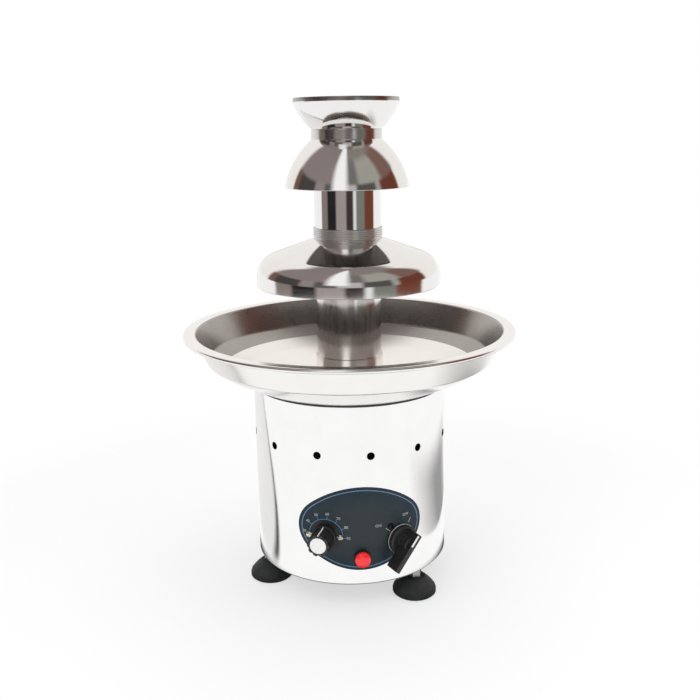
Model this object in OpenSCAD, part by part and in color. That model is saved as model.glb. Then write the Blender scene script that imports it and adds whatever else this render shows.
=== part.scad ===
// Two-tier chocolate fountain: steel base with heater and gear motor, bowl, and a lift-off tower
// with an auger that carries the chocolate up to the crown. Millimetres, +Z up, origin on the
// floor under the tower's axis, front of the control panel towards -Y.

/* [Base] */
// Outside diameter of the base shell
body_d = 153; // [146:0.5:164]
// Height of the base shell
body_h = 139.4; // [134:0.2:150]
// Floor to the lower edge of the base shell
stand_h = 22; // [20:0.5:28]
// Thickness of the rolled and spun steel sheet
sheet_t = 1.2; // [0.8:0.1:1.5]
// How far the base pan shows below the shell
pan_drop = 1; // [0.5:0.5:5]
// Height of the base pan's rim
pan_rim_h = 13; // [10:0.5:18]
// Number of vent holes round the shell
vent_n = 12; // [8:1:14]
// Diameter of a vent hole
vent_d = 6; // [4:0.5:8]
// Height of the vent holes above the shell's lower edge
vent_h = 101.5; // [96:0.5:110]
// Angle of the first vent hole from the front
vent_phase = 5.4; // [0:0.1:20]

/* [Bowl] */
// Outside diameter of the bowl's rim
bowl_d = 260; // [250:1:280]
// Rise of the bowl's rim above the shell
bowl_h = 42.8; // [40:0.2:52]
// Spherical radius of the dish's underside
dish_r = 200; // [190:1:240]
// Diameter at which the dish turns up into the wall
dish_d = 224; // [214:1:228]
// Width of the flat lip
lip_w = 9.6; // [7:0.1:10]
// Radius of the rolled bead at the rim
bead_r = 1.8; // [1.6:0.1:2.4]
// Diameter of the flat in the middle of the bowl
flat_d = 84; // [80:1:92]
// Thickness of the gasket between shell and bowl
gasket_t = 1; // [0.6:0.1:2]

/* [Tower tubes] */
// Outside diameter of the tubes
tube_d = 50.8; // [49:0.1:52]
// Wall of the tubes
tube_t = 1.5; // [1.2:0.1:1.8]
// Radial clearance of the sliding fits
slide_gap = 0.08; // [0.05:0.01:0.1]
// Wall of the sleeves that the tubes slide into
sleeve_t = 1.2; // [1:0.1:1.5]
// Height of the seat ring's top above the bowl's floor
seat_h = 30.2; // [26:0.2:36]
// Height of the chocolate inlets under the seat ring
inlet_h = 17.5; // [14:0.5:20]
// Angle that each seat leg covers
leg_span = 22; // [14:1:40]
// Width of the inner ledge that a tube stands on
ledge_w = 1.4; // [1:0.1:1.5]
// Depth of tube held in a sleeve
tube_grip = 9; // [7:0.5:12]

/* [Lower tier] */
// Diameter of the lower tier's edge
low_d = 142.6; // [130:0.2:156]
// Height of the lower tier's edge above the floor
low_edge_h = 239; // [232:0.5:246]
// Height of the straight skirt
low_skirt = 6.6; // [4:0.2:12]
// Radius of the shoulder
low_shoulder = 18; // [12:0.5:24]
// Slope of the tier's top
low_slope = 20; // [8:0.2:24]
// Height of the neck above the tier's top
low_neck_h = 8.6; // [7.6:0.2:16]
// Height of the ribbed collar at the top of the neck
collar_h = 6.4; // [5:0.2:8]
// Depth of the waist under the collar
waist_cut = 0.6; // [0.3:0.1:0.7]

/* [Upper tier] */
// Diameter of the upper tier's edge
up_d = 95; // [88:0.5:104]
// Height of the upper tier's edge above the lower neck
up_gap = 30.5; // [26:0.5:40]
// Height of the upper tier from its edge to its neck
up_h = 35.8; // [32:0.2:42]
// Radius of the bell curve
up_curve = 63.5; // [50:0.5:90]
// Height of the upper neck
up_neck_h = 7.5; // [6.5:0.1:12]

/* [Crown] */
// Diameter of the crown's mouth
crown_d = 80; // [72:0.5:90]
// Height of the crown's cup
crown_h = 22.6; // [18:0.2:28]
// Height of the upright lip round the crown's mouth
crown_lip = 3; // [1.5:0.1:5]
// Radius of the cup's curve
crown_curve = 57.6; // [40:0.2:90]
// Length of the spigot that sits in the upper neck
spigot_l = 8; // [6:0.5:9]
// Gap that shows under the crown
crown_gap = 0.3; // [0.1:0.1:0.6]

/* [Auger and drive] */
// Diameter of the auger's flight
flight_d = 44.8; // [42:0.2:45]
// Thickness of the flight
flight_t = 1.6; // [1.2:0.1:2.4]
// Pitch of the flight
flight_pitch = 34; // [28:1:44]
// Diameter of the auger's core
core_d = 12; // [11:0.5:16]
// How far the core's tip rises into the crown
core_rise = 8; // [4:0.5:12]
// Diameter of the drive socket
socket_d = 18; // [17:0.5:20]
// Depth of the drive socket
socket_l = 18; // [16:0.5:24]
// Diameter of the output shaft
shaft_d = 8; // [7:0.5:9]
// Running clearance of turning parts
run_gap = 0.05; // [0.03:0.01:0.09]
// Diameter of the drive pin
pin_d = 3; // [2.5:0.1:4]
// Diameter of the shaft bush
bush_d = 18; // [17:0.5:20]
// Height of the shaft bush's flange
bush_flange = 2.4; // [2:0.1:3]
// Gap between the bush and the auger's socket
socket_gap = 1.6; // [1:0.1:2.5]

/* [Gear motor] */
// Width of the gearbox
gearbox_w = 66; // [56:1:72]
// Depth of the gearbox
gearbox_y = 46; // [42:1:52]
// Height of the gearbox
gearbox_h = 30; // [24:1:34]
// Diameter of the motor can
motor_d = 40; // [36:1:44]
// Length of the motor can
motor_l = 55; // [45:1:60]
// Length of the posts that hang the motor from the bowl
post_l = 23; // [21:0.5:26]
// Thickness of the motor bracket
bracket_t = 2; // [1.5:0.1:3]
// Diameter of the screws that hold the gearbox
motor_screw_d = 3; // [2.5:0.5:4]
// Depth of those screws in the gearbox
motor_screw_l = 7; // [5:0.5:9]
// Distance of the tie rods inside the shell's outside
rod_inset = 17; // [15:0.5:19]
// Diameter of a tie rod
rod_d = 5; // [4:0.5:6]
// Across flats of a tie rod's nut
rod_hex = 8; // [7:0.5:10]
// Height of a tie rod's nut
rod_nut_h = 4; // [3:0.5:5]
// Diameter of the heater's tube
heater_d = 8; // [6:0.5:9]
// Gap between the heater and the tie rods
heater_gap = 1.6; // [1:0.1:3]

/* [Controls] */
// Width of the control panel seen from the front
panel_w = 92.5; // [86:0.5:100]
// Height of the control panel
panel_h = 66; // [60:0.5:72]
// Radius of the panel's rounded ends
panel_end_r = 24.5; // [18:0.5:28]
// Thickness of the control panel
panel_t = 0.4; // [0.2:0.1:0.8]
// Height of the panel's middle above the shell's lower edge
panel_z = 44.7; // [42:0.1:50]
// Angle of the heat dial from the front
dial_az = -21; // [-24:0.5:-18]
// Height of the heat dial above the shell's lower edge
dial_z = 38.4; // [34:0.1:44]
// Diameter of the heat knob's skirt
dial_d = 18.4; // [17.6:0.2:18.6]
// Diameter of the heat knob's nose
dial_nose_d = 17; // [15:0.5:17.5]
// Diameter of the heat knob's cap
dial_cap_d = 12.4; // [11:0.2:14]
// How far a knob stands out from the panel
knob_l = 16.5; // [15:0.5:24]
// Angle of the motor switch from the front
switch_az = 23.2; // [21:0.2:28]
// Height of the motor switch above the shell's lower edge
switch_z = 32.6; // [30:0.1:40]
// Diameter of the switch knob's disc
switch_d = 23; // [20:0.5:26]
// Thickness of the switch knob's disc
switch_disc_t = 5; // [4:0.5:7]
// Length of the switch knob's grip
grip_l = 34; // [28:0.5:38]
// Thickness of the switch knob's grip
grip_w = 4.4; // [4:0.2:6]
// How far the grip's middle lies off the spindle
grip_shift = 7; // [0:0.5:9]
// Diameter of the boss that carries the grip
hub_d = 11; // [9:0.5:14]
// Angle of the grip from level at rest
grip_turn = 53; // [40:1:70]
// Height of the power lamp above the shell's lower edge
lamp_z = 22.2; // [20:0.1:29]
// Diameter of the lamp's lens
lamp_d = 12.3; // [11:0.1:14]
// How far the lamp's lens stands out
lamp_l = 7.6; // [5:0.2:10]
// Diameter of a control spindle
spindle_d = 6; // [5:0.5:7]
// Width of the thermostat behind the shell
thermostat_w = 24; // [20:0.5:26]
// Height of the thermostat
thermostat_h = 34; // [28:0.5:36]
// Depth of the thermostat with its plate
thermostat_l = 24; // [20:0.5:26]
// Height of the thermostat's plate
plate_h = 14; // [10:0.5:16]
// Width of the switch behind the shell
switch_w = 28; // [24:0.5:28]
// Height of the switch
switch_h = 30; // [26:0.5:32]
// Depth of the switch
switch_l = 26; // [20:0.5:28]
// Depth of a spindle in its control
spindle_grip = 13; // [10:0.5:15]
// Height of a control screw's head
screw_head_h = 1.8; // [1.4:0.1:2.4]
// Spacing of the thermostat's screws
dial_screws = 24; // [24:0.5:28]
// Spacing of the switch's screws
switch_screws_gap = 29; // [28.5:0.5:33]
// Angle from level of the line through the switch's screws
switch_screws_turn = 53; // [45:1:60]
// Diameter of a control screw's shank
screw_d = 4; // [3:0.5:4]

/* [Feet] */
// Distance of a foot's stud inside the shell's outside
foot_inset = 8; // [7.8:0.1:10.5]
// Angle of the first foot from the front
foot_phase = 39.5; // [34:0.5:46]
// Diameter of a rubber foot
foot_d = 34; // [28:0.5:38]
// Height of a rubber foot
foot_h = 14; // [12:0.2:15]
// Diameter of a foot's stud
stud_d = 6; // [5:0.5:6]
// Across flats of the foot's hexagons
foot_hex = 10; // [9:0.2:10]
// Height of a foot's nut inside the pan
foot_nut_h = 5; // [4:0.5:6]
// How far a foot's stud stands above the pan's floor
stud_rise = 13; // [12:0.5:16]

/* [Cable gland and terminals] */
// Bore of the cable gland
gland_bore = 8; // [6:0.5:9]
// Height of the cable gland above the shell's lower edge
gland_z = 23; // [20:0.5:30]
// Width of the terminal block
block_w = 34; // [28:1:40]
// Depth of the terminal block
block_l = 18; // [16:0.5:20]
// Height of the terminal block
block_h = 14; // [12:0.5:18]

/* [Hidden] */
$fn = 96;
eps = 0.02;
shell_r = body_d / 2;
shell_in = shell_r - sheet_t;
shell_top = stand_h + body_h;
pan_z = stand_h - pan_drop;
pan_floor = pan_z + sheet_t;
pan_r = shell_in - eps;
face_r = shell_r + panel_t;
foot_pcr = shell_r - foot_inset;

rim_r = bowl_d / 2;
rim_z = shell_top + bowl_h;
dish_edge = dish_d / 2;
dish_in = dish_r - sheet_t;
dish_z = shell_top + gasket_t + sqrt(pow(dish_r, 2) - pow(shell_r, 2));
flat_r = flat_d / 2;
flat_z = dish_z - sqrt(pow(dish_r, 2) - pow(flat_r, 2));
floor_z = flat_z + sheet_t;
lip_r = rim_r - lip_w;

tube_r = tube_d / 2;
tube_in = tube_r - tube_t;
sleeve_in = tube_r + slide_gap;
sleeve_r = sleeve_in + sleeve_t;
ledge_r = sleeve_in - ledge_w;
inlet_z = floor_z + inlet_h;
seat_top = floor_z + seat_h;
tube_z = inlet_z + sheet_t + eps;

low_r = low_d / 2;
low_mid = low_r - low_shoulder;
low_shoulder_z = low_edge_h + low_skirt;
low_turn = [
    low_mid + low_shoulder * sin(low_slope), low_shoulder_z + low_shoulder * cos(low_slope)
];
low_top = low_turn[1] + (low_turn[0] - sleeve_r) * tan(low_slope);
low_neck_top = low_top + low_neck_h;
low_stop = low_top - sheet_t;
low_sleeve_z = low_stop - tube_grip;
low_tube_top = low_stop - eps;

up_r = up_d / 2;
up_edge = low_neck_top + up_gap;
up_top = up_edge + up_h;
up_neck_top = up_top + up_neck_h;
up_stop = up_neck_top - spigot_l - sheet_t - 2 * eps;
up_sleeve_z = up_stop - tube_grip;
up_tube_z = low_top + eps;
up_tube_top = up_stop - eps;

crown_r = crown_d / 2;
crown_z = up_neck_top + crown_gap;
crown_top = crown_z + crown_h;

bush_top = floor_z + eps + bush_flange;
bush_z = flat_z - 11;
socket_z = bush_top + socket_gap;
socket_top = socket_z + socket_l;
socket_cone = (socket_d - core_d) / 2;
core_top = crown_z + core_rise;
flight_z = socket_z + 3;
flight_top = crown_z + 3;
shaft_top = socket_top - 2;
pin_z = socket_z + 0.45 * socket_l;
pin_l = socket_d - 0.6;
slot_gap = 0.2;

bracket_top = flat_z - post_l;
bracket_z = bracket_top - bracket_t;
gearbox_z = bracket_z - gearbox_h;
motor_z = gearbox_z - motor_l;
boss_r = 11;
post_r = 3;
post_x = gearbox_w / 2 - 3;
post_y = 18;

rod_pcr = shell_r - rod_inset;
rod_phase = foot_phase + 35;
rod_r = rod_d / 2;
rod_z = pan_z - 1.25 * rod_nut_h;
rod_top = dish_z - sqrt(pow(dish_r, 2) - pow(rod_pcr + 2 * rod_r, 2));
heater_r = heater_d / 2;
heater_pcr = rod_pcr - rod_r - heater_r - heater_gap;
block_y = rod_pcr - rod_inset - rod_r;
knob_gap = 0.5;
knob_back = face_r + knob_gap;
knob_face = knob_back + knob_l;
screw_head_r = 1.3 * screw_d / 2;
plate_w = dial_screws + 1.5 * screw_d;
plate_t = 1.6;
hex_k = 1 / cos(30);

// Centre of the arc of radius r that runs from p to q, on the left of that direction
function arc_centre(p, q, r) =
    let (d = q - p, h = norm(d) / 2, n = [-d[1], d[0]] / norm(d)) (p + q) / 2 + n * sqrt(r * r - h * h);

// Flat distance from the axis to the inside of the shell behind a piece of width w
function shell_seat(w) = sqrt(pow(shell_in, 2) - pow(w / 2, 2)) - 0.15;

// Flat distance from the axis to the panel's face at x to one side
function face_seat(x) = sqrt(pow(face_r, 2) - pow(x, 2));

// Places a piece at an angle from the front and a height above the shell's lower edge
module on_shell(az, h) { rotate([0, 0, az]) translate([0, 0, stand_h + h]) children(); }

// Round bar pointing out of the shell, from r0 to r1 from the axis
module outward(r0, r1, d) { translate([0, -r0, 0]) rotate([90, 0, 0]) cylinder(h = r1 - r0, d = d); }

// Box behind the shell, of width w and height h, from r0 to r1 from the axis
module behind(r0, r1, w, h) { translate([-w / 2, -r1, -h / 2]) cube([w, r1 - r0, h]); }

// Ring between two radii and two heights
module ring(r0, r1, z0, z1) { rotate_extrude() translate([r0, z0]) square([r1 - r0, z1 - z0]); }

// Hexagon bar with flats facing the axis, standing at z
module hex_bar(flats, z, h) { translate([0, 0, z]) cylinder(h = h, d = flats * hex_k, $fn = 6); }

// Copies on a circle round the axis
module on_circle(n, phase, r) {
    for (i = [0:n - 1]) rotate(phase + 360 * i / n) translate([0, -r, 0]) children();
}

// The foot at a step of the circle of feet
module at_foot(i) { rotate(foot_phase + 120 * i) translate([0, -foot_pcr, 0]) children(); }

// Oval of four arcs with width w, height h and end radius e
module oval(w, h, e) {
    a = w / 2;
    b = h / 2;
    top_r = (pow(a - e, 2) + b * b - e * e) / (2 * (b - e));
    touch = (a - e) * top_r / (top_r - e);
    intersection() {
        translate([0, b - top_r]) circle(top_r, $fn = 200);
        translate([0, top_r - b]) circle(top_r, $fn = 200);
        square([2 * touch, h + 2], center = true);
    }
    for (s = [-1, 1]) translate([s * (a - e), 0]) circle(e);
}

// Every hole that the controls need through the shell and the panel
module control_holes() {
    on_shell(dial_az, dial_z) {
        outward(shell_r - 20, shell_r + 5, spindle_d + 2);
        for (s = [-1, 1]) translate([s * dial_screws / 2, 0, 0])
            outward(shell_r - 20, shell_r + 5, screw_d + 0.2);
    }
    on_shell(switch_az, switch_z) {
        outward(shell_r - 20, shell_r + 5, spindle_d + 2);
        switch_screw_places() outward(shell_r - 20, shell_r + 5, screw_d + 0.2);
    }
    on_shell(0, lamp_z) outward(shell_r - 20, shell_r + 5, lamp_d * 0.68);
}

// The switch's two screws sit on a slanted line across the spindle
module switch_screw_places() {
    x = switch_screws_gap / 2 * cos(switch_screws_turn);
    z = switch_screws_gap / 2 * sin(switch_screws_turn);
    for (s = [-1, 1]) translate([s * x, 0, -s * z]) children();
}

module base_shell() {
    color("silver") difference() {
        ring(shell_in, shell_r, stand_h, shell_top);
        for (i = [0:vent_n - 1]) on_shell(vent_phase + 360 * i / vent_n, vent_h)
            outward(shell_in - 5, shell_r + 5, vent_d);
        control_holes();
        on_shell(180, gland_z) outward(shell_in - 5, shell_r + 5, gland_bore + 4);
    }
}

module base_pan() {
    color("silver") translate([0, 0, pan_z]) difference() {
        union() {
            cylinder(h = sheet_t, r = pan_r);
            ring(pan_r - sheet_t, pan_r, 0, pan_rim_h);
        }
        on_circle(3, foot_phase, foot_pcr) translate([0, 0, -1])
            cylinder(h = sheet_t + 2, d = stud_d + 4 * run_gap);
        on_circle(3, rod_phase, rod_pcr) translate([0, 0, -1])
            cylinder(h = sheet_t + 2, r = rod_r + run_gap);
        for (i = [0:11]) rotate(15 + 30 * i) translate([28, 0, -1]) linear_extrude(sheet_t + 2) {
            translate([0, -2]) square([16, 4]);
            circle(2);
            translate([16, 0]) circle(2);
        }
    }
}

module bowl() {
    wall_foot = dish_edge - sheet_t;
    edge_z = dish_z - sqrt(pow(dish_r, 2) - pow(dish_edge, 2));
    foot_z = dish_z - sqrt(pow(dish_in, 2) - pow(wall_foot, 2));
    color("gainsboro") rotate_extrude($fn = 180) {
        translate([bush_d / 2 + run_gap, flat_z]) square([flat_r - bush_d / 2, sheet_t]);
        intersection() {
            translate([0, dish_z]) difference() {
                circle(dish_r, $fn = 360);
                circle(dish_in, $fn = 360);
            }
            translate([flat_r - 1, flat_z]) square([dish_edge - flat_r + 1, dish_r / 2]);
        }
        polygon([
            [dish_edge, edge_z], [lip_r + sheet_t, rim_z - sheet_t], [lip_r + sheet_t, rim_z],
            [lip_r, rim_z], [wall_foot, foot_z]
        ]);
        translate([lip_r, rim_z - sheet_t]) square([lip_w - bead_r, sheet_t]);
        translate([rim_r - bead_r, rim_z - bead_r]) circle(bead_r);
    }
}

module bowl_gasket() {
    color("black") rotate_extrude() difference() {
        translate([shell_in, shell_top]) square([sheet_t, 2 * gasket_t]);
        translate([0, dish_z]) circle(dish_r + eps, $fn = 360);
    }
}

module seat_ring() {
    color("silver") {
        ring(sleeve_in, sleeve_r, inlet_z, seat_top);
        ring(ledge_r, sleeve_in + eps, inlet_z, inlet_z + sheet_t);
    }
}

module seat_legs() {
    color("silver") for (i = [0:2]) rotate(60 + 120 * i - leg_span / 2 - 90)
        rotate_extrude(angle = leg_span) translate([sleeve_in, floor_z]) square([sleeve_t, inlet_h]);
}

module heater_ring() {
    reach = dish_r + heater_r + eps;
    color("dimgray") rotate(110) rotate_extrude(angle = 320)
        translate([heater_pcr, dish_z - sqrt(pow(reach, 2) - pow(heater_pcr, 2))])
            circle(heater_r, $fn = 32);
}

module thermal_cutout() {
    color("ivory") translate([0, flat_r * 2 / 3, 0]) {
        translate([0, 0, flat_z - 9]) cylinder(h = 9 - eps, d = 16);
        for (s = [-1, 1]) translate([4 * s - 0.4, -2, flat_z - 15]) cube([0.8, 4, 7]);
    }
}

module shaft_bush() {
    color("ivory") difference() {
        union() {
            translate([0, 0, bush_z]) cylinder(h = bush_top - bush_z, d = bush_d);
            translate([0, 0, floor_z + eps]) cylinder(h = bush_flange, d = bush_d + 10);
        }
        translate([0, 0, bush_z - 1]) cylinder(h = bush_top - bush_z + 2, d = shaft_d + 2 * run_gap);
    }
}

module bush_nut() {
    color("silver") difference() {
        hex_bar(bush_d + 6, flat_z - 7, 7 - eps);
        translate([0, 0, flat_z - 8]) cylinder(h = 9, d = bush_d + 2 * run_gap);
    }
}

module motor_bracket() {
    color("lightsteelblue") difference() {
        translate([-post_x - 6, -post_y - 6, bracket_z])
            cube([2 * post_x + 12, 2 * post_y + 12, bracket_t]);
        translate([0, 0, bracket_z - 1]) cylinder(h = bracket_t + 2, r = boss_r + 0.1);
        motor_screw_places() translate([0, 0, bracket_z - 1])
            cylinder(h = bracket_t + 2, d = motor_screw_d + 0.2);
    }
}

module bracket_posts() {
    color("silver") for (x = [-1, 1], y = [-1, 1])
        translate([x * post_x, y * post_y, bracket_top]) cylinder(h = post_l - eps, r = post_r);
}

// Screws that hold the gearbox under the bracket
module motor_screw_places() {
    for (x = [-1, 1], y = [-1, 1]) translate([x * gearbox_w * 0.27, y * gearbox_y * 0.3, 0]) children();
}

module gearbox_housing() {
    color("darkgray") difference() {
        union() {
            translate([-gearbox_w / 2, -gearbox_y / 2, gearbox_z]) cube([gearbox_w, gearbox_y, gearbox_h]);
            translate([0, 0, bracket_z - 2]) cylinder(h = bracket_t + 6, r = boss_r);
        }
        translate([0, 0, gearbox_z + gearbox_h / 2]) cylinder(h = gearbox_h, d = shaft_d + 2 * run_gap);
        motor_screw_places() translate([0, 0, bracket_z - motor_screw_l - 1])
            cylinder(h = motor_screw_l + 2, d = motor_screw_d);
    }
}

module motor_can() {
    color("gray") {
        translate([0, 0, motor_z]) cylinder(h = motor_l, d = motor_d);
        translate([0, 0, motor_z - 4]) cylinder(h = 4, d = motor_d * 0.4);
        for (s = [-1, 1]) translate([s * motor_d * 0.32 - 0.4, -2.5, motor_z - 7]) cube([0.8, 5, 7]);
    }
}

module motor_screws() {
    color("silver") motor_screw_places() {
        translate([0, 0, bracket_z - motor_screw_l])
            cylinder(h = motor_screw_l + bracket_t, d = motor_screw_d);
        translate([0, 0, bracket_top]) cylinder(h = motor_screw_d * 0.65, d = motor_screw_d * 1.85);
    }
}

module tie_rods() {
    color("silver") difference() {
        on_circle(3, rod_phase, rod_pcr) translate([0, 0, rod_z]) cylinder(h = rod_top - rod_z, r = rod_r);
        translate([0, 0, dish_z]) sphere(dish_r + eps, $fn = 200);
    }
}

module tie_rod_nuts() {
    color("silver") on_circle(3, rod_phase, rod_pcr) difference() {
        union() {
            hex_bar(rod_hex, pan_z - rod_nut_h - eps, rod_nut_h);
            hex_bar(rod_hex, pan_floor + eps, rod_nut_h);
        }
        translate([0, 0, rod_z]) cylinder(h = 4 * rod_nut_h, r = rod_r + eps);
    }
}

module control_panel() {
    color("darkslategray") difference() {
        intersection() {
            ring(shell_r, face_r, stand_h + panel_z - panel_h, stand_h + panel_z + panel_h);
            translate([0, 0, stand_h + panel_z]) rotate([90, 0, 0])
                linear_extrude(shell_r + 5) oval(panel_w, panel_h, panel_end_r);
        }
        control_holes();
    }
}

module thermostat_body() {
    front = shell_seat(plate_w);
    color("tan") on_shell(dial_az, dial_z) difference() {
        union() {
            behind(front - plate_t, front, plate_w, plate_h);
            behind(front - thermostat_l, front - plate_t, thermostat_w, thermostat_h);
        }
        outward(front - spindle_grip - 1, front + 1, spindle_d + 2 * run_gap);
        for (s = [-1, 1]) translate([s * dial_screws / 2, 0, 0])
            outward(front - plate_t - 1, front + 1, screw_d + 0.1);
    }
}

module thermostat_screws() {
    seat = face_seat(dial_screws / 2 - screw_head_r);
    color("beige") on_shell(dial_az, dial_z) for (s = [-1, 1]) translate([s * dial_screws / 2, 0, 0]) {
        outward(shell_seat(plate_w) - plate_t, seat + screw_head_h / 2, screw_d);
        outward(seat, seat + screw_head_h, 2 * screw_head_r);
    }
}

module switch_body() {
    front = shell_seat(switch_w);
    color("dimgray") on_shell(switch_az, switch_z) difference() {
        behind(front - switch_l, front, switch_w, switch_h);
        outward(front - spindle_grip - 1, front + 1, spindle_d + 2 * run_gap);
        switch_screw_places() outward(front - 2 * screw_d, front + 1, screw_d + 0.1);
    }
}

module switch_screws() {
    seat = face_seat(switch_screws_gap / 2 * cos(switch_screws_turn) - screw_head_r);
    color("black") on_shell(switch_az, switch_z) switch_screw_places() {
        outward(shell_seat(switch_w) - 1.5 * screw_d, seat + screw_head_h / 2, screw_d);
        outward(seat, seat + screw_head_h, 2 * screw_head_r);
    }
}

module lamp_lens() {
    r = lamp_d / 2;
    color("red") on_shell(0, lamp_z) translate([0, -face_r - eps, 0]) rotate([90, 0, 0]) {
        cylinder(h = lamp_l - 1.4, r = r);
        translate([0, 0, lamp_l - 1.4]) cylinder(h = 1.4, r1 = r, r2 = r - 1);
    }
}

module lamp_body() {
    color("dimgray") on_shell(0, lamp_z) outward(shell_r - 14, face_r, lamp_d * 0.68 - 0.1);
}

module lamp_nut() {
    front = shell_seat(lamp_d);
    color("silver") on_shell(0, lamp_z) translate([0, -front + 4, 0]) rotate([90, 0, 0]) difference() {
        cylinder(h = 4, d = lamp_d, $fn = 6);
        translate([0, 0, -1]) cylinder(h = 6, d = lamp_d * 0.68);
    }
}

module cable_gland() {
    neck = gland_bore + 4;
    back = shell_seat(neck + 4);
    color("black") on_shell(180, gland_z) difference() {
        union() {
            outward(back - 4, shell_r + 4, neck - 0.1);
            outward(shell_r + eps, shell_r + 4, neck + 6);
            outward(back - 4, back, neck + 4);
        }
        outward(back - 5, shell_r + 5, gland_bore);
    }
}

module terminal_block() {
    color("ivory") translate([0, block_y, pan_floor]) difference() {
        translate([-block_w / 2, -block_l / 2, 0]) cube([block_w, block_l, block_h]);
        for (i = [-1:1]) translate([block_w * 0.32 * i, 0, 0]) {
            for (s = [-1, 1]) translate([0, s * block_l * 0.28, block_h * 0.58])
                cylinder(h = block_h / 2, d = block_h * 0.36);
            translate([0, 0, block_h * 0.36]) rotate([90, 0, 0])
                cylinder(h = block_l + 2, d = block_h * 0.28, center = true);
        }
    }
}

module foot_nuts() {
    color("silver") for (i = [0:2]) at_foot(i) difference() {
        hex_bar(foot_hex, pan_floor, foot_nut_h);
        translate([0, 0, pan_floor - 1]) cylinder(h = foot_nut_h + 2, d = stud_d + 2 * run_gap);
    }
}

module heat_knob() {
    flute_n = 10;
    skirt_t = 3;
    color("black") on_shell(dial_az, dial_z) translate([0, -knob_back, 0]) rotate([90, 0, 0])
    difference() {
        union() {
            cylinder(h = skirt_t, d = dial_d);
            linear_extrude(knob_l) difference() {
                circle(d = dial_nose_d);
                for (i = [0:flute_n - 1]) rotate((i + 0.5) * 360 / flute_n)
                    translate([dial_nose_d / 2 + 0.5, 0]) circle(1.4, $fn = 24);
            }
        }
        translate([0, 0, -1]) cylinder(h = knob_l - 5, d = spindle_d + eps);
        translate([0, 0, knob_l - 1.2]) cylinder(h = 3, d = dial_cap_d);
    }
}

module heat_knob_cap() {
    color("white") on_shell(dial_az, dial_z) outward(knob_face - 1.2, knob_face + 0.4, dial_cap_d - eps);
}

module thermostat_spindle() {
    color("silver") on_shell(dial_az, dial_z)
        outward(shell_seat(plate_w) - spindle_grip, knob_face - 6, spindle_d);
}

module switch_knob() {
    color("black") on_shell(switch_az, switch_z) translate([0, -knob_back, 0]) rotate([90, 0, 0])
    difference() {
        union() {
            cylinder(h = switch_disc_t, d = switch_d);
            cylinder(h = knob_l - 3, d = hub_d);
            rotate(grip_turn) translate([-grip_shift - grip_l / 2, -grip_w / 2, switch_disc_t - 1])
                cube([grip_l, grip_w, knob_l - switch_disc_t + 1]);
        }
        translate([0, 0, -1]) cylinder(h = knob_l - 5, d = spindle_d + eps);
    }
}

module switch_spindle() {
    color("silver") on_shell(switch_az, switch_z)
        outward(shell_seat(switch_w) - spindle_grip, knob_face - 6, spindle_d);
}

module output_shaft() {
    shaft_z = gearbox_z + gearbox_h / 2 + 1;
    color("silver") difference() {
        translate([0, 0, shaft_z]) cylinder(h = shaft_top - shaft_z, d = shaft_d);
        translate([0, 0, pin_z]) rotate([0, 90, 0]) cylinder(h = shaft_d + 2, d = pin_d, center = true);
    }
}

module drive_pin() {
    color("gainsboro") translate([0, 0, pin_z]) rotate([0, 90, 0])
        cylinder(h = pin_l, d = pin_d - eps, center = true);
}

module auger_core() {
    slot = pin_d + 2 * slot_gap;
    color("gainsboro") difference() {
        union() {
            translate([0, 0, socket_z]) cylinder(h = socket_l, d = socket_d);
            translate([0, 0, socket_top]) cylinder(h = socket_cone, d1 = socket_d, d2 = core_d);
            translate([0, 0, socket_top]) cylinder(h = core_top - socket_top - 2, d = core_d);
            translate([0, 0, core_top - 2]) cylinder(h = 2, d1 = core_d, d2 = core_d - 4);
        }
        translate([0, 0, socket_z - 1]) cylinder(h = socket_l, d = shaft_d + 2 * run_gap);
        translate([-socket_d, -slot / 2, socket_z - 1]) cube([2 * socket_d, slot, pin_z - socket_z + 1]);
        translate([0, 0, pin_z]) rotate([0, 90, 0])
            cylinder(h = 2 * socket_d, d = pin_d + run_gap, center = true);
    }
}

// Radius of the core at a height, a cone above the socket
function core_r(z) = core_d / 2 + max(0, min(socket_cone, socket_top + socket_cone - z));

module auger_flight() {
    turn_steps = 24;
    steps = round(turn_steps * (flight_top - flight_t - flight_z) / flight_pitch);
    stretch = 1 / cos(180 / turn_steps);
    function corner(i, far, up) =
        let (
            z = flight_z + flight_pitch * i / turn_steps + up * flight_t,
            a = 360 * i / turn_steps,
            r = far == 1 ? flight_d / 2 : core_r(z - flight_pitch / turn_steps) * stretch + eps
        ) [r * cos(a), r * sin(a), z];
    points = [
        for (i = [0:steps]) each [corner(i, 0, 0), corner(i, 1, 0), corner(i, 1, 1), corner(i, 0, 1)]
    ];
    sides = [
        for (i = [0:steps - 1], k = [0:3]) let (a = 4 * i + k, b = 4 * i + (k + 1) % 4)
            each [[a, b, b + 4], [a, b + 4, a + 4]]
    ];
    last = 4 * steps;
    ends = [[0, 2, 1], [0, 3, 2], [last, last + 1, last + 2], [last, last + 2, last + 3]];
    color("gainsboro") polyhedron(points, [for (f = concat(sides, ends)) [f[2], f[1], f[0]]]);
}

module lower_tube() { color("silver") ring(tube_in, tube_r, tube_z, low_tube_top); }

// Area under the lower tier's curve, t inside its outer face
module low_area(t) {
    bend_r = low_shoulder - t;
    turn = [low_mid + bend_r * sin(low_slope), low_shoulder_z + bend_r * cos(low_slope)];
    base_z = low_edge_h - t;
    translate([0, base_z]) square([low_r - t, low_skirt + t]);
    translate([low_mid, low_shoulder_z]) circle(low_shoulder - t);
    polygon([
        [0, base_z], [low_mid, base_z], [low_mid, low_shoulder_z], turn,
        [0, turn[1] + turn[0] * tan(low_slope)]
    ]);
}

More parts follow.
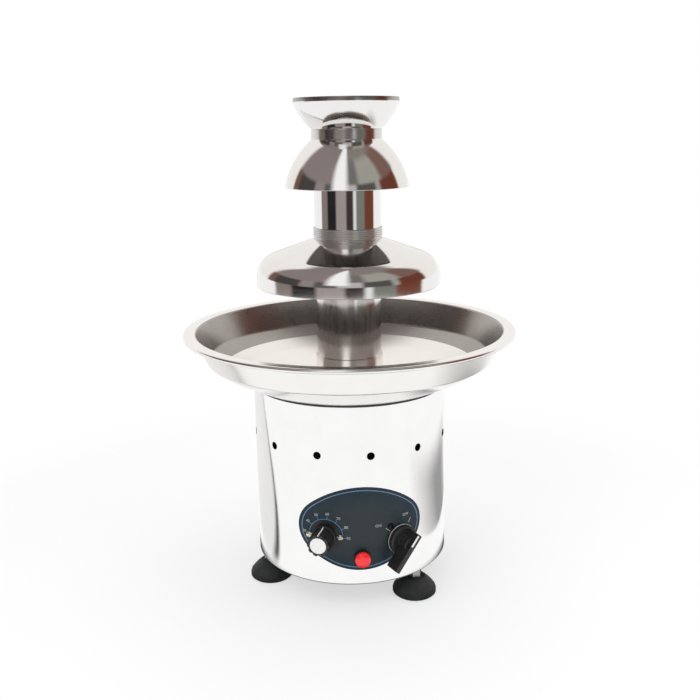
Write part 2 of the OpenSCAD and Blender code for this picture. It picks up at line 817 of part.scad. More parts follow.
module lower_tier_dome() {
    color("silver") rotate_extrude($fn = 180) intersection() {
        difference() {
            low_area(0);
            low_area(sheet_t);
        }
        translate([sleeve_r + eps, low_edge_h]) square([low_r, low_r]);
    }
}

// Sleeve with an inner stop that rests on the tube below and carries the tube above
module sleeve_area(z0, z1, stop_z) {
    translate([sleeve_in, z0]) square([sleeve_t, z1 - z0]);
    translate([ledge_r, stop_z]) square([ledge_w + eps, sheet_t]);
}

module lower_tier_neck() {
    waist_z = low_top + 0.6;
    groove = 0.5;
    color("silver") rotate_extrude() difference() {
        sleeve_area(low_sleeve_z, low_neck_top, low_stop);
        translate([sleeve_r - waist_cut, waist_z])
            square([waist_cut + 1, low_neck_top - collar_h - waist_z]);
        for (i = [1:3]) translate([sleeve_r - 0.25, low_neck_top - i * collar_h / 4 - groove / 2])
            square([1, groove]);
    }
}

module upper_tube() { color("silver") ring(tube_in, tube_r, up_tube_z, up_tube_top); }

module upper_tier_dome() {
    centre = arc_centre([up_r, up_edge], [sleeve_r, up_top], up_curve);
    color("silver") rotate_extrude($fn = 180) intersection() {
        translate(centre) difference() {
            circle(up_curve, $fn = 240);
            circle(up_curve - sheet_t, $fn = 240);
        }
        translate([sleeve_r + eps, up_edge]) square([up_r, up_h + 5]);
    }
}

module upper_tier_neck() {
    color("silver") rotate_extrude() sleeve_area(up_sleeve_z, up_neck_top, up_stop);
}

module crown_cup() {
    lip_z = crown_top - crown_lip;
    centre = arc_centre([sleeve_r, crown_z], [crown_r, lip_z], crown_curve);
    color("gainsboro") rotate_extrude($fn = 180) {
        translate([crown_r - sheet_t, lip_z - eps]) square([sheet_t, crown_lip + eps]);
        intersection() {
            translate(centre) difference() {
                circle(crown_curve, $fn = 240);
                circle(crown_curve - sheet_t, $fn = 240);
            }
            translate([tube_in, crown_z]) square([crown_r, crown_h - crown_lip]);
        }
        translate([tube_r - sleeve_t, crown_z - crown_gap - spigot_l])
            square([sleeve_t, spigot_l + crown_gap + sheet_t]);
    }
}

module foot_pad(i) {
    shoulder_z = foot_h * 0.35;
    top_r = foot_hex * 0.84;
    curve = foot_d * 1.1;
    centre = arc_centre([foot_d / 2, shoulder_z], [top_r, foot_h], curve);
    color("black") at_foot(i) difference() {
        rotate_extrude() {
            intersection() {
                translate(centre) circle(curve, $fn = 200);
                translate([0, shoulder_z]) square([foot_d, foot_h - shoulder_z]);
            }
            polygon([
                [0, 0], [foot_d / 2 - 1.6, 0], [foot_d / 2, 1.6], [foot_d / 2, shoulder_z], [0, shoulder_z]
            ]);
            square([top_r, foot_h]);
        }
        translate([0, 0, foot_h / 2]) cylinder(h = foot_h, d = stud_d);
    }
}

module foot_stud(i) {
    stud_z = foot_h / 2 + eps;
    color("gainsboro") at_foot(i) {
        hex_bar(foot_hex, foot_h + eps, pan_z - foot_h - 3 * eps);
        translate([0, 0, stud_z]) cylinder(h = pan_floor + stud_rise - stud_z, d = stud_d - eps);
    }
}

base_shell();
base_pan();
bowl();
bowl_gasket();
seat_ring();
seat_legs();
heater_ring();
thermal_cutout();
shaft_bush();
bush_nut();
motor_bracket();
bracket_posts();
gearbox_housing();
motor_can();
motor_screws();
tie_rods();
tie_rod_nuts();
control_panel();
thermostat_body();
thermostat_screws();
switch_body();
switch_screws();
lamp_lens();
lamp_body();
lamp_nut();
cable_gland();
terminal_block();
foot_nuts();
heat_knob();
heat_knob_cap();
thermostat_spindle();
switch_knob();
switch_spindle();
output_shaft();
drive_pin();
auger_core();
auger_flight();
lower_tube();
lower_tier_dome();
lower_tier_neck();
upper_tube();
upper_tier_dome();
upper_tier_neck();
crown_cup();
foot_pad(0);  // foot_pad_a
foot_pad(1);  // foot_pad_b
foot_pad(2);  // foot_pad_c
foot_stud(0);  // foot_stud_a
foot_stud(1);  // foot_stud_b
foot_stud(2);  // foot_stud_c
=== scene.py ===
"""Dressed model of a two-tier chocolate fountain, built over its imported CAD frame."""

import logging
import math
from dataclasses import dataclass
from enum import Enum
from typing import Callable, Protocol, Sequence

import bpy
from mathutils import Matrix, Vector


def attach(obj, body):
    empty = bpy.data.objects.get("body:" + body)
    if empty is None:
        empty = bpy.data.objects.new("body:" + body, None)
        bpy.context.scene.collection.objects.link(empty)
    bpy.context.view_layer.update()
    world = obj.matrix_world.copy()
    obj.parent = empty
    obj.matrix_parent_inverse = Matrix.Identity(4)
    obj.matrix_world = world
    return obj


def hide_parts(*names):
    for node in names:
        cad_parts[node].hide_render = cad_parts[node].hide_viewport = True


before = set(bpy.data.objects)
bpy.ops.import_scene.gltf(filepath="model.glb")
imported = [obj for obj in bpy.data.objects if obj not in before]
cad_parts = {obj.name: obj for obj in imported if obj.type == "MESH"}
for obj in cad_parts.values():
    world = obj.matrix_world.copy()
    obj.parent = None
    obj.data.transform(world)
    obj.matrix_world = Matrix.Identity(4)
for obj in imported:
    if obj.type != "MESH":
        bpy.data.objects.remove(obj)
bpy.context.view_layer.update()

LOG = logging.getLogger("fountain")
MM = 0.001
WELD = 1e-6
PROUD = 0.02
Point = tuple[float, float]
Corner = tuple[float, float, float]
Colour = tuple[float, float, float]
Bands = Sequence[tuple[float, Colour]]
Piece = bpy.types.Object
Socket = bpy.types.NodeSocket


def arc(centre: Point, radius: float, start: float, end: float, steps: int) -> list[Corner]:
    """Corners along an arc of a section.

    Args:
        centre: Middle of the arc, as distance from the axis and height.
        radius: Radius of the arc.
        start: First angle in degrees, from the outward direction.
        end: Last angle in degrees.
        steps: Number of chords.

    Returns:
        The corners, none of them rounded.
    """
    turns = [math.radians(start + (end - start) * i / steps) for i in range(steps + 1)]
    return [(centre[0] + radius * math.cos(t), centre[1] + radius * math.sin(t), 0.0) for t in turns]


def arc_between(first: Point, last: Point, radius: float, inset: float) -> tuple[Point, float, float]:
    """Arc through two points that bulges away from the axis.

    Args:
        first: Lower point.
        last: Upper point.
        radius: Radius of the arc through the points.
        inset: How far inside that arc the answer lies.

    Returns:
        The centre, and the angles at which the inset arc meets the two heights.
    """
    run, rise = last[0] - first[0], last[1] - first[1]
    chord = math.hypot(run, rise)
    drop = math.sqrt(radius ** 2 - chord ** 2 / 4)
    centre = (
        (first[0] + last[0]) / 2 - rise / chord * drop,
        (first[1] + last[1]) / 2 + run / chord * drop,
    )
    angles = [math.degrees(math.asin((p[1] - centre[1]) / (radius - inset))) for p in (first, last)]
    return centre, angles[0], angles[1]


def rounded(corners: Sequence[Corner], steps: int = 4) -> list[Point]:
    """Closed outline with its corners rounded.

    Args:
        corners: Corners as two coordinates and a rounding radius.
        steps: Chords in each rounded corner.

    Returns:
        The outline's points.
    """
    points: list[Point] = []
    for i, (x, y, radius) in enumerate(corners):
        before, after = corners[i - 1], corners[(i + 1) % len(corners)]
        a, b = (before[0] - x, before[1] - y), (after[0] - x, after[1] - y)
        la, lb = math.hypot(*a), math.hypot(*b)
        if radius <= 0 or la < WELD or lb < WELD:
            points.append((x, y))
            continue
        a, b = (a[0] / la, a[1] / la), (b[0] / lb, b[1] / lb)
        half = math.acos(max(-1.0, min(1.0, a[0] * b[0] + a[1] * b[1]))) / 2
        reach = min(radius / math.tan(half), 0.48 * la, 0.48 * lb)
        bend = reach * math.tan(half)
        middle = (a[0] + b[0], a[1] + b[1])
        away = bend / math.sin(half) / math.hypot(*middle)
        centre = (x + middle[0] * away, y + middle[1] * away)
        start = math.atan2(y + a[1] * reach - centre[1], x + a[0] * reach - centre[0])
        end = math.atan2(y + b[1] * reach - centre[1], x + b[0] * reach - centre[0])
        sweep = (end - start + math.pi) % math.tau - math.pi
        for k in range(steps + 1):
            turn = start + sweep * k / steps
            points.append((centre[0] + bend * math.cos(turn), centre[1] + bend * math.sin(turn)))
    return points


def oval(width: float, height: float, end: float, steps: int = 24) -> list[Point]:
    """Outline of an oval of four arcs.

    Args:
        width: Full width.
        height: Full height.
        end: Radius of the rounded ends.
        steps: Chords in each arc.

    Returns:
        The outline's points, counter-clockwise from the right end.
    """
    a, b = width / 2, height / 2
    flat = ((a - end) ** 2 + b * b - end * end) / (2 * (b - end))
    turn = math.degrees(math.atan2(flat - b, a - end))
    corners = arc((a - end, 0), end, -turn, turn, steps)
    corners += arc((0, b - flat), flat, turn, 180 - turn, 2 * steps)[1:]
    corners += arc((end - a, 0), end, 180 - turn, 180 + turn, steps)[1:]
    corners += arc((0, flat - b), flat, 180 + turn, 360 - turn, 2 * steps)[1:-1]
    return [(x, y) for x, y, _ in corners]


class Meet(Enum):
    """How a tool solid acts on a piece."""

    CUT = "DIFFERENCE"
    KEEP = "INTERSECT"
    WELD = "UNION"


class Bench:
    """Modelling steps that the pieces share, with sizes in millimetres."""

    @staticmethod
    def clear() -> None:
        """Leaves edit mode and deselects everything."""
        active = bpy.context.view_layer.objects.active
        if active and active.mode != "OBJECT":
            bpy.ops.object.mode_set(mode="OBJECT")
        bpy.ops.object.select_all(action="DESELECT")

    @staticmethod
    def pick(piece: Piece) -> None:
        """Selects one piece alone."""
        Bench.clear()
        piece.select_set(True)
        bpy.context.view_layer.objects.active = piece

    @staticmethod
    def work(*steps: Callable[[], object]) -> None:
        """Runs edit-mode steps, each on all of the active piece, then leaves edit mode."""
        bpy.ops.object.mode_set(mode="EDIT")
        for step in steps:
            bpy.ops.mesh.select_all(action="SELECT")
            step()
        bpy.ops.object.mode_set(mode="OBJECT")

    @staticmethod
    def merge() -> None:
        """Merges doubled vertices."""
        bpy.ops.mesh.remove_doubles(threshold=WELD)

    @staticmethod
    def outward() -> None:
        """Points faces outwards."""
        bpy.ops.mesh.normals_make_consistent(inside=False)

    @staticmethod
    def apply(piece: Piece, kind: str, **settings: object) -> None:
        """Gives a piece a modifier and applies it.

        Args:
            piece: The piece.
            kind: Modifier type.
            settings: The modifier's properties by name.
        """
        Bench.pick(piece)
        step = piece.modifiers.new(kind.lower(), kind)
        for key, value in settings.items():
            setattr(step, key, value)
        bpy.ops.object.modifier_apply(modifier=step.name)

    @staticmethod
    def trace(name: str, points: Sequence[Corner]) -> Piece:
        """Draws a line through points, one extruded vertex after another.

        Args:
            name: Name of the new piece.
            points: Points in millimetres.

        Returns:
            The piece, in edit mode.
        """
        Bench.clear()
        bpy.ops.mesh.primitive_plane_add(size=MM)
        piece = bpy.context.object
        piece.name = name
        bpy.ops.object.mode_set(mode="EDIT")
        bpy.ops.mesh.select_all(action="SELECT")
        bpy.ops.mesh.merge(type="CENTER")
        bpy.ops.transform.translate(value=[v * MM for v in points[0]])
        for here, there in zip(points, points[1:]):
            step = [(b - a) * MM for a, b in zip(here, there)]
            bpy.ops.mesh.extrude_vertices_move(TRANSFORM_OT_translate={"value": step})
        return piece

    @staticmethod
    def lathe(
        name: str, section: Sequence[Point], steps: int = 192, closed: bool = True, sweep: float = 360.0
    ) -> Piece:
        """Spins a section round the vertical axis.

        Args:
            name: Name of the new piece.
            section: Points as distance from the axis and height.
            steps: Number of steps round.
            closed: Whether the section's last point runs back to its first.
            sweep: Angle of the spin in degrees.

        Returns:
            The spun piece.
        """
        line = [(r, 0.0, z) for r, z in section]
        piece = Bench.trace(name, line + line[:1] if closed else line)

        def spin() -> None:
            """Spins the traced line."""
            bpy.ops.mesh.spin(steps=steps, angle=math.radians(sweep), center=(0, 0, 0), axis=(0, 0, 1))

        def cap() -> None:
            """Closes the two ends of a part turn."""
            bpy.ops.mesh.fill_holes(sides=len(section) + 1)

        ends = [cap] if sweep < 360 else []
        Bench.work(Bench.merge, spin, Bench.merge, *ends, Bench.outward)
        return piece

    @staticmethod
    def plate(name: str, outline: Sequence[Point], low: float, high: float) -> Piece:
        """Extrudes a flat outline straight up.

        Args:
            name: Name of the new piece.
            outline: Points of the closed outline.
            low: Height of its lower face.
            high: Height of its upper face.

        Returns:
            The extruded piece.
        """
        piece = Bench.trace(name, [(x, y, low) for x, y in outline])
        rise = {"value": (0, 0, (high - low) * MM)}
        Bench.work(
            bpy.ops.mesh.edge_face_add,
            lambda: bpy.ops.mesh.extrude_region_move(TRANSFORM_OT_translate=rise),
            Bench.outward,
        )
        return piece

    @staticmethod
    def bar(name: str, diameter: float, low: float, high: float, sides: int) -> Piece:
        """Round or many-sided bar along the vertical axis.

        Args:
            name: Name of the new piece.
            diameter: Diameter over the corners.
            low: Height of its foot.
            high: Height of its top.
            sides: Number of sides.

        Returns:
            The bar.
        """
        Bench.clear()
        middle = (0, 0, (high + low) / 2 * MM)
        bpy.ops.mesh.primitive_cylinder_add(
            vertices=sides, radius=diameter / 2 * MM, depth=(high - low) * MM, location=middle
        )
        piece = bpy.context.object
        piece.name = name
        Bench.settle(piece)
        return piece

    @staticmethod
    def block(name: str, low: Corner, high: Corner) -> Piece:
        """Square block between two corners.

        Args:
            name: Name of the new piece.
            low: Lowest corner.
            high: Highest corner.

        Returns:
            The block.
        """
        Bench.clear()
        middle = [(a + b) / 2 * MM for a, b in zip(low, high)]
        sides = [(b - a) * MM for a, b in zip(low, high)]
        bpy.ops.mesh.primitive_cube_add(size=1, location=middle, scale=sides)
        piece = bpy.context.object
        piece.name = name
        Bench.settle(piece)
        return piece

    @staticmethod
    def settle(piece: Piece) -> None:
        """Puts a piece's place, turn and scale into its mesh."""
        Bench.pick(piece)
        bpy.ops.object.transform_apply(location=True, rotation=True, scale=True)

    @staticmethod
    def shift(piece: Piece, x: float = 0.0, y: float = 0.0, turn: float = 0.0) -> Piece:
        """Turns a piece about the vertical axis, then moves it.

        Args:
            piece: The piece.
            x: Move to the right.
            y: Move to the back.
            turn: Turn in degrees.

        Returns:
            The same piece.
        """
        piece.rotation_euler = (0, 0, math.radians(turn))
        piece.location = (x * MM, y * MM, 0)
        Bench.settle(piece)
        return piece

    @staticmethod
    def face_out(piece: Piece, azimuth: float, height: float) -> Piece:
        """Stands a piece on the shell's side, its own up pointing away from the axis.

        Args:
            piece: The piece, whose heights are distances from the axis.
            azimuth: Angle from the front in degrees, to the right.
            height: Height above the floor.

        Returns:
            The same piece.
        """
        piece.rotation_euler = (math.pi / 2, 0, math.radians(azimuth))
        piece.location = (0, 0, height * MM)
        Bench.settle(piece)
        return piece

    @staticmethod
    def copy(piece: Piece, name: str) -> Piece:
        """Copies a piece with a mesh of its own.

        Args:
            piece: The piece.
            name: Name of the copy.

        Returns:
            The copy.
        """
        Bench.pick(piece)
        bpy.ops.object.duplicate(linked=False)
        twin = bpy.context.object
        twin.name = name
        return twin

    @staticmethod
    def gather(pieces: Sequence[Piece]) -> Piece:
        """Joins pieces into the first of them.

        Args:
            pieces: The pieces.

        Returns:
            The first piece.
        """
        Bench.pick(pieces[0])
        for other in pieces[1:]:
            other.select_set(True)
        bpy.ops.object.join()
        return pieces[0]

    @staticmethod
    def meet(piece: Piece, tool: Piece, how: Meet) -> None:
        """Cuts, keeps or welds a piece with a tool solid, which is then removed.

        Args:
            piece: The piece.
            tool: The tool solid.
            how: What the tool does.
        """
        Bench.apply(piece, "BOOLEAN", operation=how.value, solver="EXACT", object=tool)
        bpy.data.objects.remove(tool, do_unlink=True)

    @staticmethod
    def soften(piece: Piece, width: float, segments: int = 3, above: float = 40.0) -> None:
        """Rounds a piece's sharp edges.

        Args:
            piece: The piece.
            width: Width of the rounding.
            segments: Chords across it.
            above: Smallest angle of an edge that is rounded, in degrees.
        """
        Bench.apply(
            piece, "BEVEL", width=width * MM, segments=segments, limit_method="ANGLE",
            angle_limit=math.radians(above),
        )

    @staticmethod
    def smooth(piece: Piece, below: float = 32.0) -> None:
        """Shades a piece smooth across edges under an angle in degrees, led by its largest faces."""
        Bench.pick(piece)
        bpy.ops.object.shade_smooth_by_angle(angle=math.radians(below))
        Bench.apply(piece, "WEIGHTED_NORMAL", mode="FACE_AREA", keep_sharp=True)


class Graph:
    """A node tree while it is being built."""

    def __init__(self, tree: bpy.types.NodeTree) -> None:
        """Starts on a tree."""
        self.tree = tree

    def node(self, kind: str, **settings: object) -> bpy.types.Node:
        """Adds a node and sets its properties.

        Args:
            kind: Node type.
            settings: Properties by name.

        Returns:
            The node.
        """
        made = self.tree.nodes.new(kind)
        for key, value in settings.items():
            setattr(made, key, value)
        return made

    def link(self, source: Socket, target: Socket) -> None:
        """Connects two sockets."""
        self.tree.links.new(source, target)

    def math(self, operation: str, first: Socket, second: Socket | float = 0.0) -> Socket:
        """Adds a sum of two values.

        Args:
            operation: Name of the sum.
            first: First value.
            second: Second value.

        Returns:
            The result's socket.
        """
        made = self.node("ShaderNodeMath", operation=operation)
        self.link(first, made.inputs[0])
        if isinstance(second, (int, float)):
            made.inputs[1].default_value = second
        else:
            self.link(second, made.inputs[1])
        return made.outputs[0]

    def split(self, vector: Socket) -> tuple[Socket, Socket, Socket]:
        """Adds the three parts of a vector."""
        made = self.node("ShaderNodeSeparateXYZ")
        self.link(vector, made.inputs[0])
        return made.outputs["X"], made.outputs["Y"], made.outputs["Z"]

    def length(self, first: Socket, second: Socket) -> Socket:
        """Adds the length of two sides at a right angle."""
        squares = [self.math("POWER", side, 2.0) for side in (first, second)]
        return self.math("SQRT", self.math("ADD", *squares))

    def bearing(self, x: Socket, y: Socket) -> Socket:
        """Adds the angle from the front, to the right, in radians."""
        return self.math("ARCTAN2", x, self.math("MULTIPLY", y, -1.0))

    def fade(self, value: Socket, low: float, high: float) -> Socket:
        """Adds a smooth step from 0 to 1.

        Args:
            value: What is stepped.
            low: Where the step starts.
            high: Where it ends.

        Returns:
            The step.
        """
        made = self.node("ShaderNodeMapRange", interpolation_type="SMOOTHSTEP")
        self.link(value, made.inputs["Value"])
        made.inputs["From Min"].default_value = low
        made.inputs["From Max"].default_value = high
        return made.outputs["Result"]

    def mix(self, share: Socket, first: Socket | Colour, second: Socket | Colour) -> Socket:
        """Adds a mix of two colours.

        Args:
            share: Share of the second colour.
            first: First colour.
            second: Second colour.

        Returns:
            The mixed colour.
        """
        made = self.node("ShaderNodeMix", data_type="RGBA")
        self.link(share, made.inputs[0])
        for place, colour in ((6, first), (7, second)):
            if isinstance(colour, tuple):
                made.inputs[place].default_value = (*colour, 1.0)
            else:
                self.link(colour, made.inputs[place])
        return made.outputs[2]

    def ramp(self, value: Socket, stops: Bands) -> Socket:
        """Adds a ramp of colours.

        Args:
            value: What runs along the ramp, from 0 to 1.
            stops: Place and colour of each stop, in order.

        Returns:
            The colour.
        """
        made = self.node("ShaderNodeValToRGB")
        self.link(value, made.inputs["Fac"])
        elements = made.color_ramp.elements
        for stop, (place, colour) in zip(elements, (stops[0], stops[-1])):
            stop.position = place
            stop.color = (*colour, 1.0)
        for place, colour in stops[1:-1]:
            elements.new(place).color = (*colour, 1.0)
        return made.outputs["Color"]


class Recipe(Graph):
    """A material while it is being built."""

    def __init__(self, name: str) -> None:
        """Starts a material with a plain shader."""
        self.material = bpy.data.materials.new(name)
        self.material.use_nodes = True
        super().__init__(self.material.node_tree)
        self.shader = self.tree.nodes["Principled BSDF"]
        self.place = self.node("ShaderNodeTexCoord").outputs["Object"]

    def noise(self, scale: float, detail: float = 2.0, along: Socket | None = None) -> Socket:
        """Adds a noise pattern.

        Args:
            scale: Waves in a metre.
            detail: Finer layers.
            along: A single value to run along, or none for all three directions.

        Returns:
            The noise's value.
        """
        made = self.node("ShaderNodeTexNoise", noise_dimensions="3D" if along is None else "1D")
        made.inputs["Scale"].default_value = scale
        made.inputs["Detail"].default_value = detail
        if along is None:
            self.link(self.place, made.inputs["Vector"])
        else:
            self.link(along, made.inputs["W"])
        return made.outputs[0]

    def spread(self, value: Socket, low: float, high: float) -> Socket:
        """Maps the middle of a noise to a range.

        Args:
            value: The noise.
            low: Result at the noise's low side.
            high: Result at its high side.

        Returns:
            The mapped value.
        """
        made = self.node("ShaderNodeMapRange")
        self.link(value, made.inputs["Value"])
        for key, number in (("From Min", 0.3), ("From Max", 0.7), ("To Min", low), ("To Max", high)):
            made.inputs[key].default_value = number
        return made.outputs["Result"]

    def blend(self, value: Socket, low: Colour, high: Colour) -> Socket:
        """Blends two colours by a noise.

        Args:
            value: The noise.
            low: Colour at its low side.
            high: Colour at its high side.

        Returns:
            The colour.
        """
        return self.ramp(value, ((0.3, low), (0.7, high)))

    def bump(self, height: Socket, depth: float, strength: float, under: Socket | None = None) -> Socket:
        """Adds a relief.

        Args:
            height: The relief's pattern.
            depth: Its depth in millimetres.
            strength: Share of it that shows.
            under: A coarser relief below it.

        Returns:
            The bent normal.
        """
        made = self.node("ShaderNodeBump")
        made.inputs["Strength"].default_value = strength
        made.inputs["Distance"].default_value = depth * MM
        self.link(height, made.inputs["Height"])
        if under is not None:
            self.link(under, made.inputs["Normal"])
        return made.outputs["Normal"]

    def fix(self, **values: float | tuple[float, ...]) -> None:
        """Sets the shader's own values, named with underscores for spaces."""
        for key, value in values.items():
            self.shader.inputs[key.replace("_", " ")].default_value = value

    def feed(self, **sockets: Socket) -> None:
        """Links patterns to the shader's values, named with underscores for spaces."""
        for key, socket in sockets.items():
            self.link(socket, self.shader.inputs[key.replace("_", " ")])


class Finish(Protocol):
    """Anything that can give a material."""

    name: str

    def build(self) -> bpy.types.Material:
        """Makes the material."""


def shade(colour: Colour, factor: float) -> Colour:
    """Darkens or lightens a colour."""
    return tuple(min(1.0, c * factor) for c in colour)


@dataclass(frozen=True)
class SpunSteel:
    """Stainless steel with the rings that spinning and buffing leave."""

    name: str
    tint: Colour
    roughness: float = 0.08
    spread: float = 0.05
    rise: float = -1.0
    ring: float = 5200.0
    ring_depth: float = 0.004
    wave: float = 24.0
    wave_depth: float = 0.10

    def build(self) -> bpy.types.Material:
        """Makes the material."""
        recipe = Recipe(self.name)
        x, y, z = recipe.split(recipe.place)
        path = recipe.math("ADD", recipe.length(x, y), recipe.math("MULTIPLY", z, self.rise))
        rings = recipe.noise(self.ring, 3.0, path)
        bands = recipe.noise(self.ring / 14, 2.0, path)
        smear = recipe.noise(58.0, 4.0)
        wave = recipe.noise(self.wave, 1.0)
        rough = recipe.spread(smear, self.roughness, self.roughness + self.spread)
        rough = recipe.math("ADD", rough, recipe.spread(rings, 0.0, self.spread * 0.6))
        relief = recipe.bump(wave, self.wave_depth, 0.35)
        relief = recipe.bump(bands, self.ring_depth * 3, 0.25, relief)
        relief = recipe.bump(rings, self.ring_depth, 0.3, relief)
        recipe.fix(Metallic=1.0, IOR=2.5)
        tone = recipe.blend(smear, shade(self.tint, 0.965), self.tint)
        recipe.feed(Base_Color=tone, Roughness=rough, Normal=relief)
        return recipe.material


@dataclass(frozen=True)
class CastMetal:
    """Plated, painted or cast metal with a fine grain."""

    name: str
    tint: Colour
    roughness: float = 0.3
    metallic: float = 1.0
    grain: float = 900.0
    grain_depth: float = 0.02

    def build(self) -> bpy.types.Material:
        """Makes the material."""
        recipe = Recipe(self.name)
        stain = recipe.noise(70.0, 5.0)
        grain = recipe.noise(self.grain, 2.0)
        recipe.fix(Metallic=self.metallic)
        recipe.feed(
            Base_Color=recipe.blend(stain, shade(self.tint, 0.82), shade(self.tint, 1.08)),
            Roughness=recipe.spread(stain, self.roughness, self.roughness + 0.12),
            Normal=recipe.bump(grain, self.grain_depth, 0.4),
        )
        return recipe.material


@dataclass(frozen=True)
class Moulded:
    """Moulded plastic or rubber with a matt grain and a little dust."""

    name: str
    tint: Colour
    dust: Colour
    roughness: float = 0.42
    grain: float = 1600.0
    grain_depth: float = 0.03
    coat: float = 0.0

    def build(self) -> bpy.types.Material:
        """Makes the material."""
        recipe = Recipe(self.name)
        dust = recipe.noise(140.0, 6.0)
        grain = recipe.noise(self.grain, 2.0)
        swell = recipe.noise(60.0, 1.0)
        relief = recipe.bump(swell, 0.08, 0.2)
        recipe.fix(Coat_Weight=self.coat, Coat_Roughness=0.12)
        recipe.feed(
            Base_Color=recipe.blend(dust, self.tint, self.dust),
            Roughness=recipe.spread(dust, self.roughness, self.roughness + 0.1),
            Normal=recipe.bump(grain, self.grain_depth, 0.5, relief),
        )
        return recipe.material


@dataclass(frozen=True)
class OverlayFilm:
    """Printed overlay film, darkest and bluest towards its edge."""

    name: str
    middle: Colour
    edge: Colour
    centre_z: float
    half_width: float
    half_height: float

    def build(self) -> bpy.types.Material:
        """Makes the material."""
        recipe = Recipe(self.name)
        x, _, z = recipe.split(recipe.place)
        across = recipe.math("DIVIDE", x, self.half_width * MM)
        up = recipe.math("DIVIDE", recipe.math("SUBTRACT", z, self.centre_z * MM), self.half_height * MM)
        cloud = recipe.noise(90.0, 4.0)
        mottled = recipe.math("ADD", recipe.length(across, up), recipe.spread(cloud, -0.08, 0.08))
        grain = recipe.noise(2600.0, 2.0)
        recipe.fix(Specular_IOR_Level=0.35)
        recipe.feed(
            Base_Color=recipe.ramp(mottled, ((0.45, self.middle), (1.0, self.edge))),
            Roughness=recipe.spread(cloud, 0.42, 0.52),
            Normal=recipe.bump(grain, 0.012, 0.4),
        )
        return recipe.material


@dataclass(frozen=True)
class LampGlass:
    """Red lens, clear on its skin and ribbed inside."""

    name: str
    tint: Colour
    deep: Colour

    def build(self) -> bpy.types.Material:
        """Makes the material."""
        recipe = Recipe(self.name)
        cloud = recipe.noise(160.0, 3.0)
        facet = recipe.noise(700.0, 1.0)
        recipe.fix(Coat_Weight=0.5, Coat_Roughness=0.06)
        recipe.fix(Subsurface_Weight=0.25, Subsurface_Scale=0.002, Subsurface_Radius=(1.0, 0.2, 0.1))
        recipe.fix(Emission_Color=(1.0, 0.03, 0.035, 1.0), Emission_Strength=0.18)
        recipe.feed(
            Base_Color=recipe.blend(cloud, self.deep, self.tint),
            Roughness=recipe.spread(cloud, 0.16, 0.24),
            Normal=recipe.bump(facet, 0.05, 0.25),
        )
        return recipe.material


SHELL_STEEL = SpunSteel("steel_rolled_shell", (0.96, 0.955, 0.95), 0.06, 0.04, wave=14.0, wave_depth=0.03)
BOWL_STEEL = SpunSteel("steel_spun_bowl", (0.945, 0.925, 0.90), 0.15, 0.06, rise=1.0)
TIER_STEEL = SpunSteel("steel_spun_tier", (0.88, 0.865, 0.85), 0.055, 0.035)
CROWN_STEEL = SpunSteel("steel_spun_crown", (0.88, 0.86, 0.845), 0.06, 0.04, rise=1.0)
TUBE_STEEL = SpunSteel("steel_drawn_tube", (0.86, 0.85, 0.84), 0.05, 0.03, wave_depth=0.05)
SATIN_STEEL = SpunSteel("steel_satin_tube", (0.92, 0.89, 0.87), 0.09, 0.05, wave_depth=0.05)
# Rougher steel for the bowl's inner wall and the crown's lip. Its tint, darkened far below the bowl's own, is
# painted shade.
WALL_STEEL_SHADED = SpunSteel("steel_brushed_wall_painted_shade", (0.44, 0.415, 0.395), 0.22, 0.08)
FLOOR_STEEL = SpunSteel("steel_satin_floor", (0.95, 0.925, 0.895), 0.11, 0.05)
# Pan steel darkened so that its thin strip under the shell shows as the painted shade of the gap there.
PAN_STEEL_SHADED = SpunSteel("steel_pressed_pan_painted_shade", (0.40, 0.40, 0.41), 0.28, 0.08)
COLLAR_STEEL = SpunSteel("steel_satin_collar", (0.70, 0.67, 0.65), 0.15, 0.06)
# Rougher steel for the tiers' undersides. Its tint, darker than the tiers' outside, is painted shade under
# the domes.
INSIDE_STEEL = SpunSteel("steel_unpolished_painted_shade", (0.50, 0.475, 0.455), 0.34, 0.08)
NECK_STEEL = SpunSteel("steel_turned_neck", (0.66, 0.635, 0.615), 0.26, 0.08, -1.0, 9000.0, 0.008)
AUGER_STEEL = SpunSteel("steel_auger", (0.80, 0.79, 0.775), 0.16, 0.08)
PLATED = CastMetal("zinc_plate", (0.66, 0.66, 0.67), 0.24)
SCREW_HEAD = CastMetal("screw_yellow", (0.80, 0.76, 0.62), 0.26)
SCREW_BLACK = CastMetal("screw_black", (0.035, 0.036, 0.04), 0.36)
SHEATH = CastMetal("heater_sheath", (0.30, 0.28, 0.26), 0.42)
ALLOY = CastMetal("gearbox_alloy", (0.60, 0.61, 0.62), 0.44, grain=500.0, grain_depth=0.06)
PAINT = CastMetal("motor_paint", (0.10, 0.10, 0.11), 0.4, metallic=0.0)
KNOB_BLACK = Moulded("knob_black", (0.012, 0.012, 0.013), (0.022, 0.021, 0.021), 0.36)
RUBBER = Moulded("rubber_black", (0.016, 0.018, 0.019), (0.034, 0.036, 0.037), 0.58, 1100.0, 0.06)
CAP_WHITE = Moulded("cap_white", (0.92, 0.92, 0.915), (0.87, 0.87, 0.86), 0.3, grain_depth=0.01, coat=0.2)
CREAM = Moulded("cream_moulding", (0.78, 0.73, 0.62), (0.70, 0.65, 0.54), 0.45)
INK_BLUE = Moulded("ink_blue", (0.17, 0.24, 0.38), (0.13, 0.20, 0.34), 0.5, grain_depth=0.005)
INK_SKY = Moulded("ink_sky", (0.10, 0.24, 0.45), (0.08, 0.20, 0.40), 0.5, grain_depth=0.005)
INK_PALE = Moulded("ink_pale", (0.52, 0.53, 0.54), (0.44, 0.45, 0.46), 0.5, grain_depth=0.005)
INK_BLACK = Moulded("ink_black", (0.010, 0.010, 0.011), (0.015, 0.015, 0.016), 0.45, grain_depth=0.005)
FILM = OverlayFilm("overlay_film", (0.024, 0.034, 0.038), (0.003, 0.022, 0.036), 66.7, 46.25, 33.0)
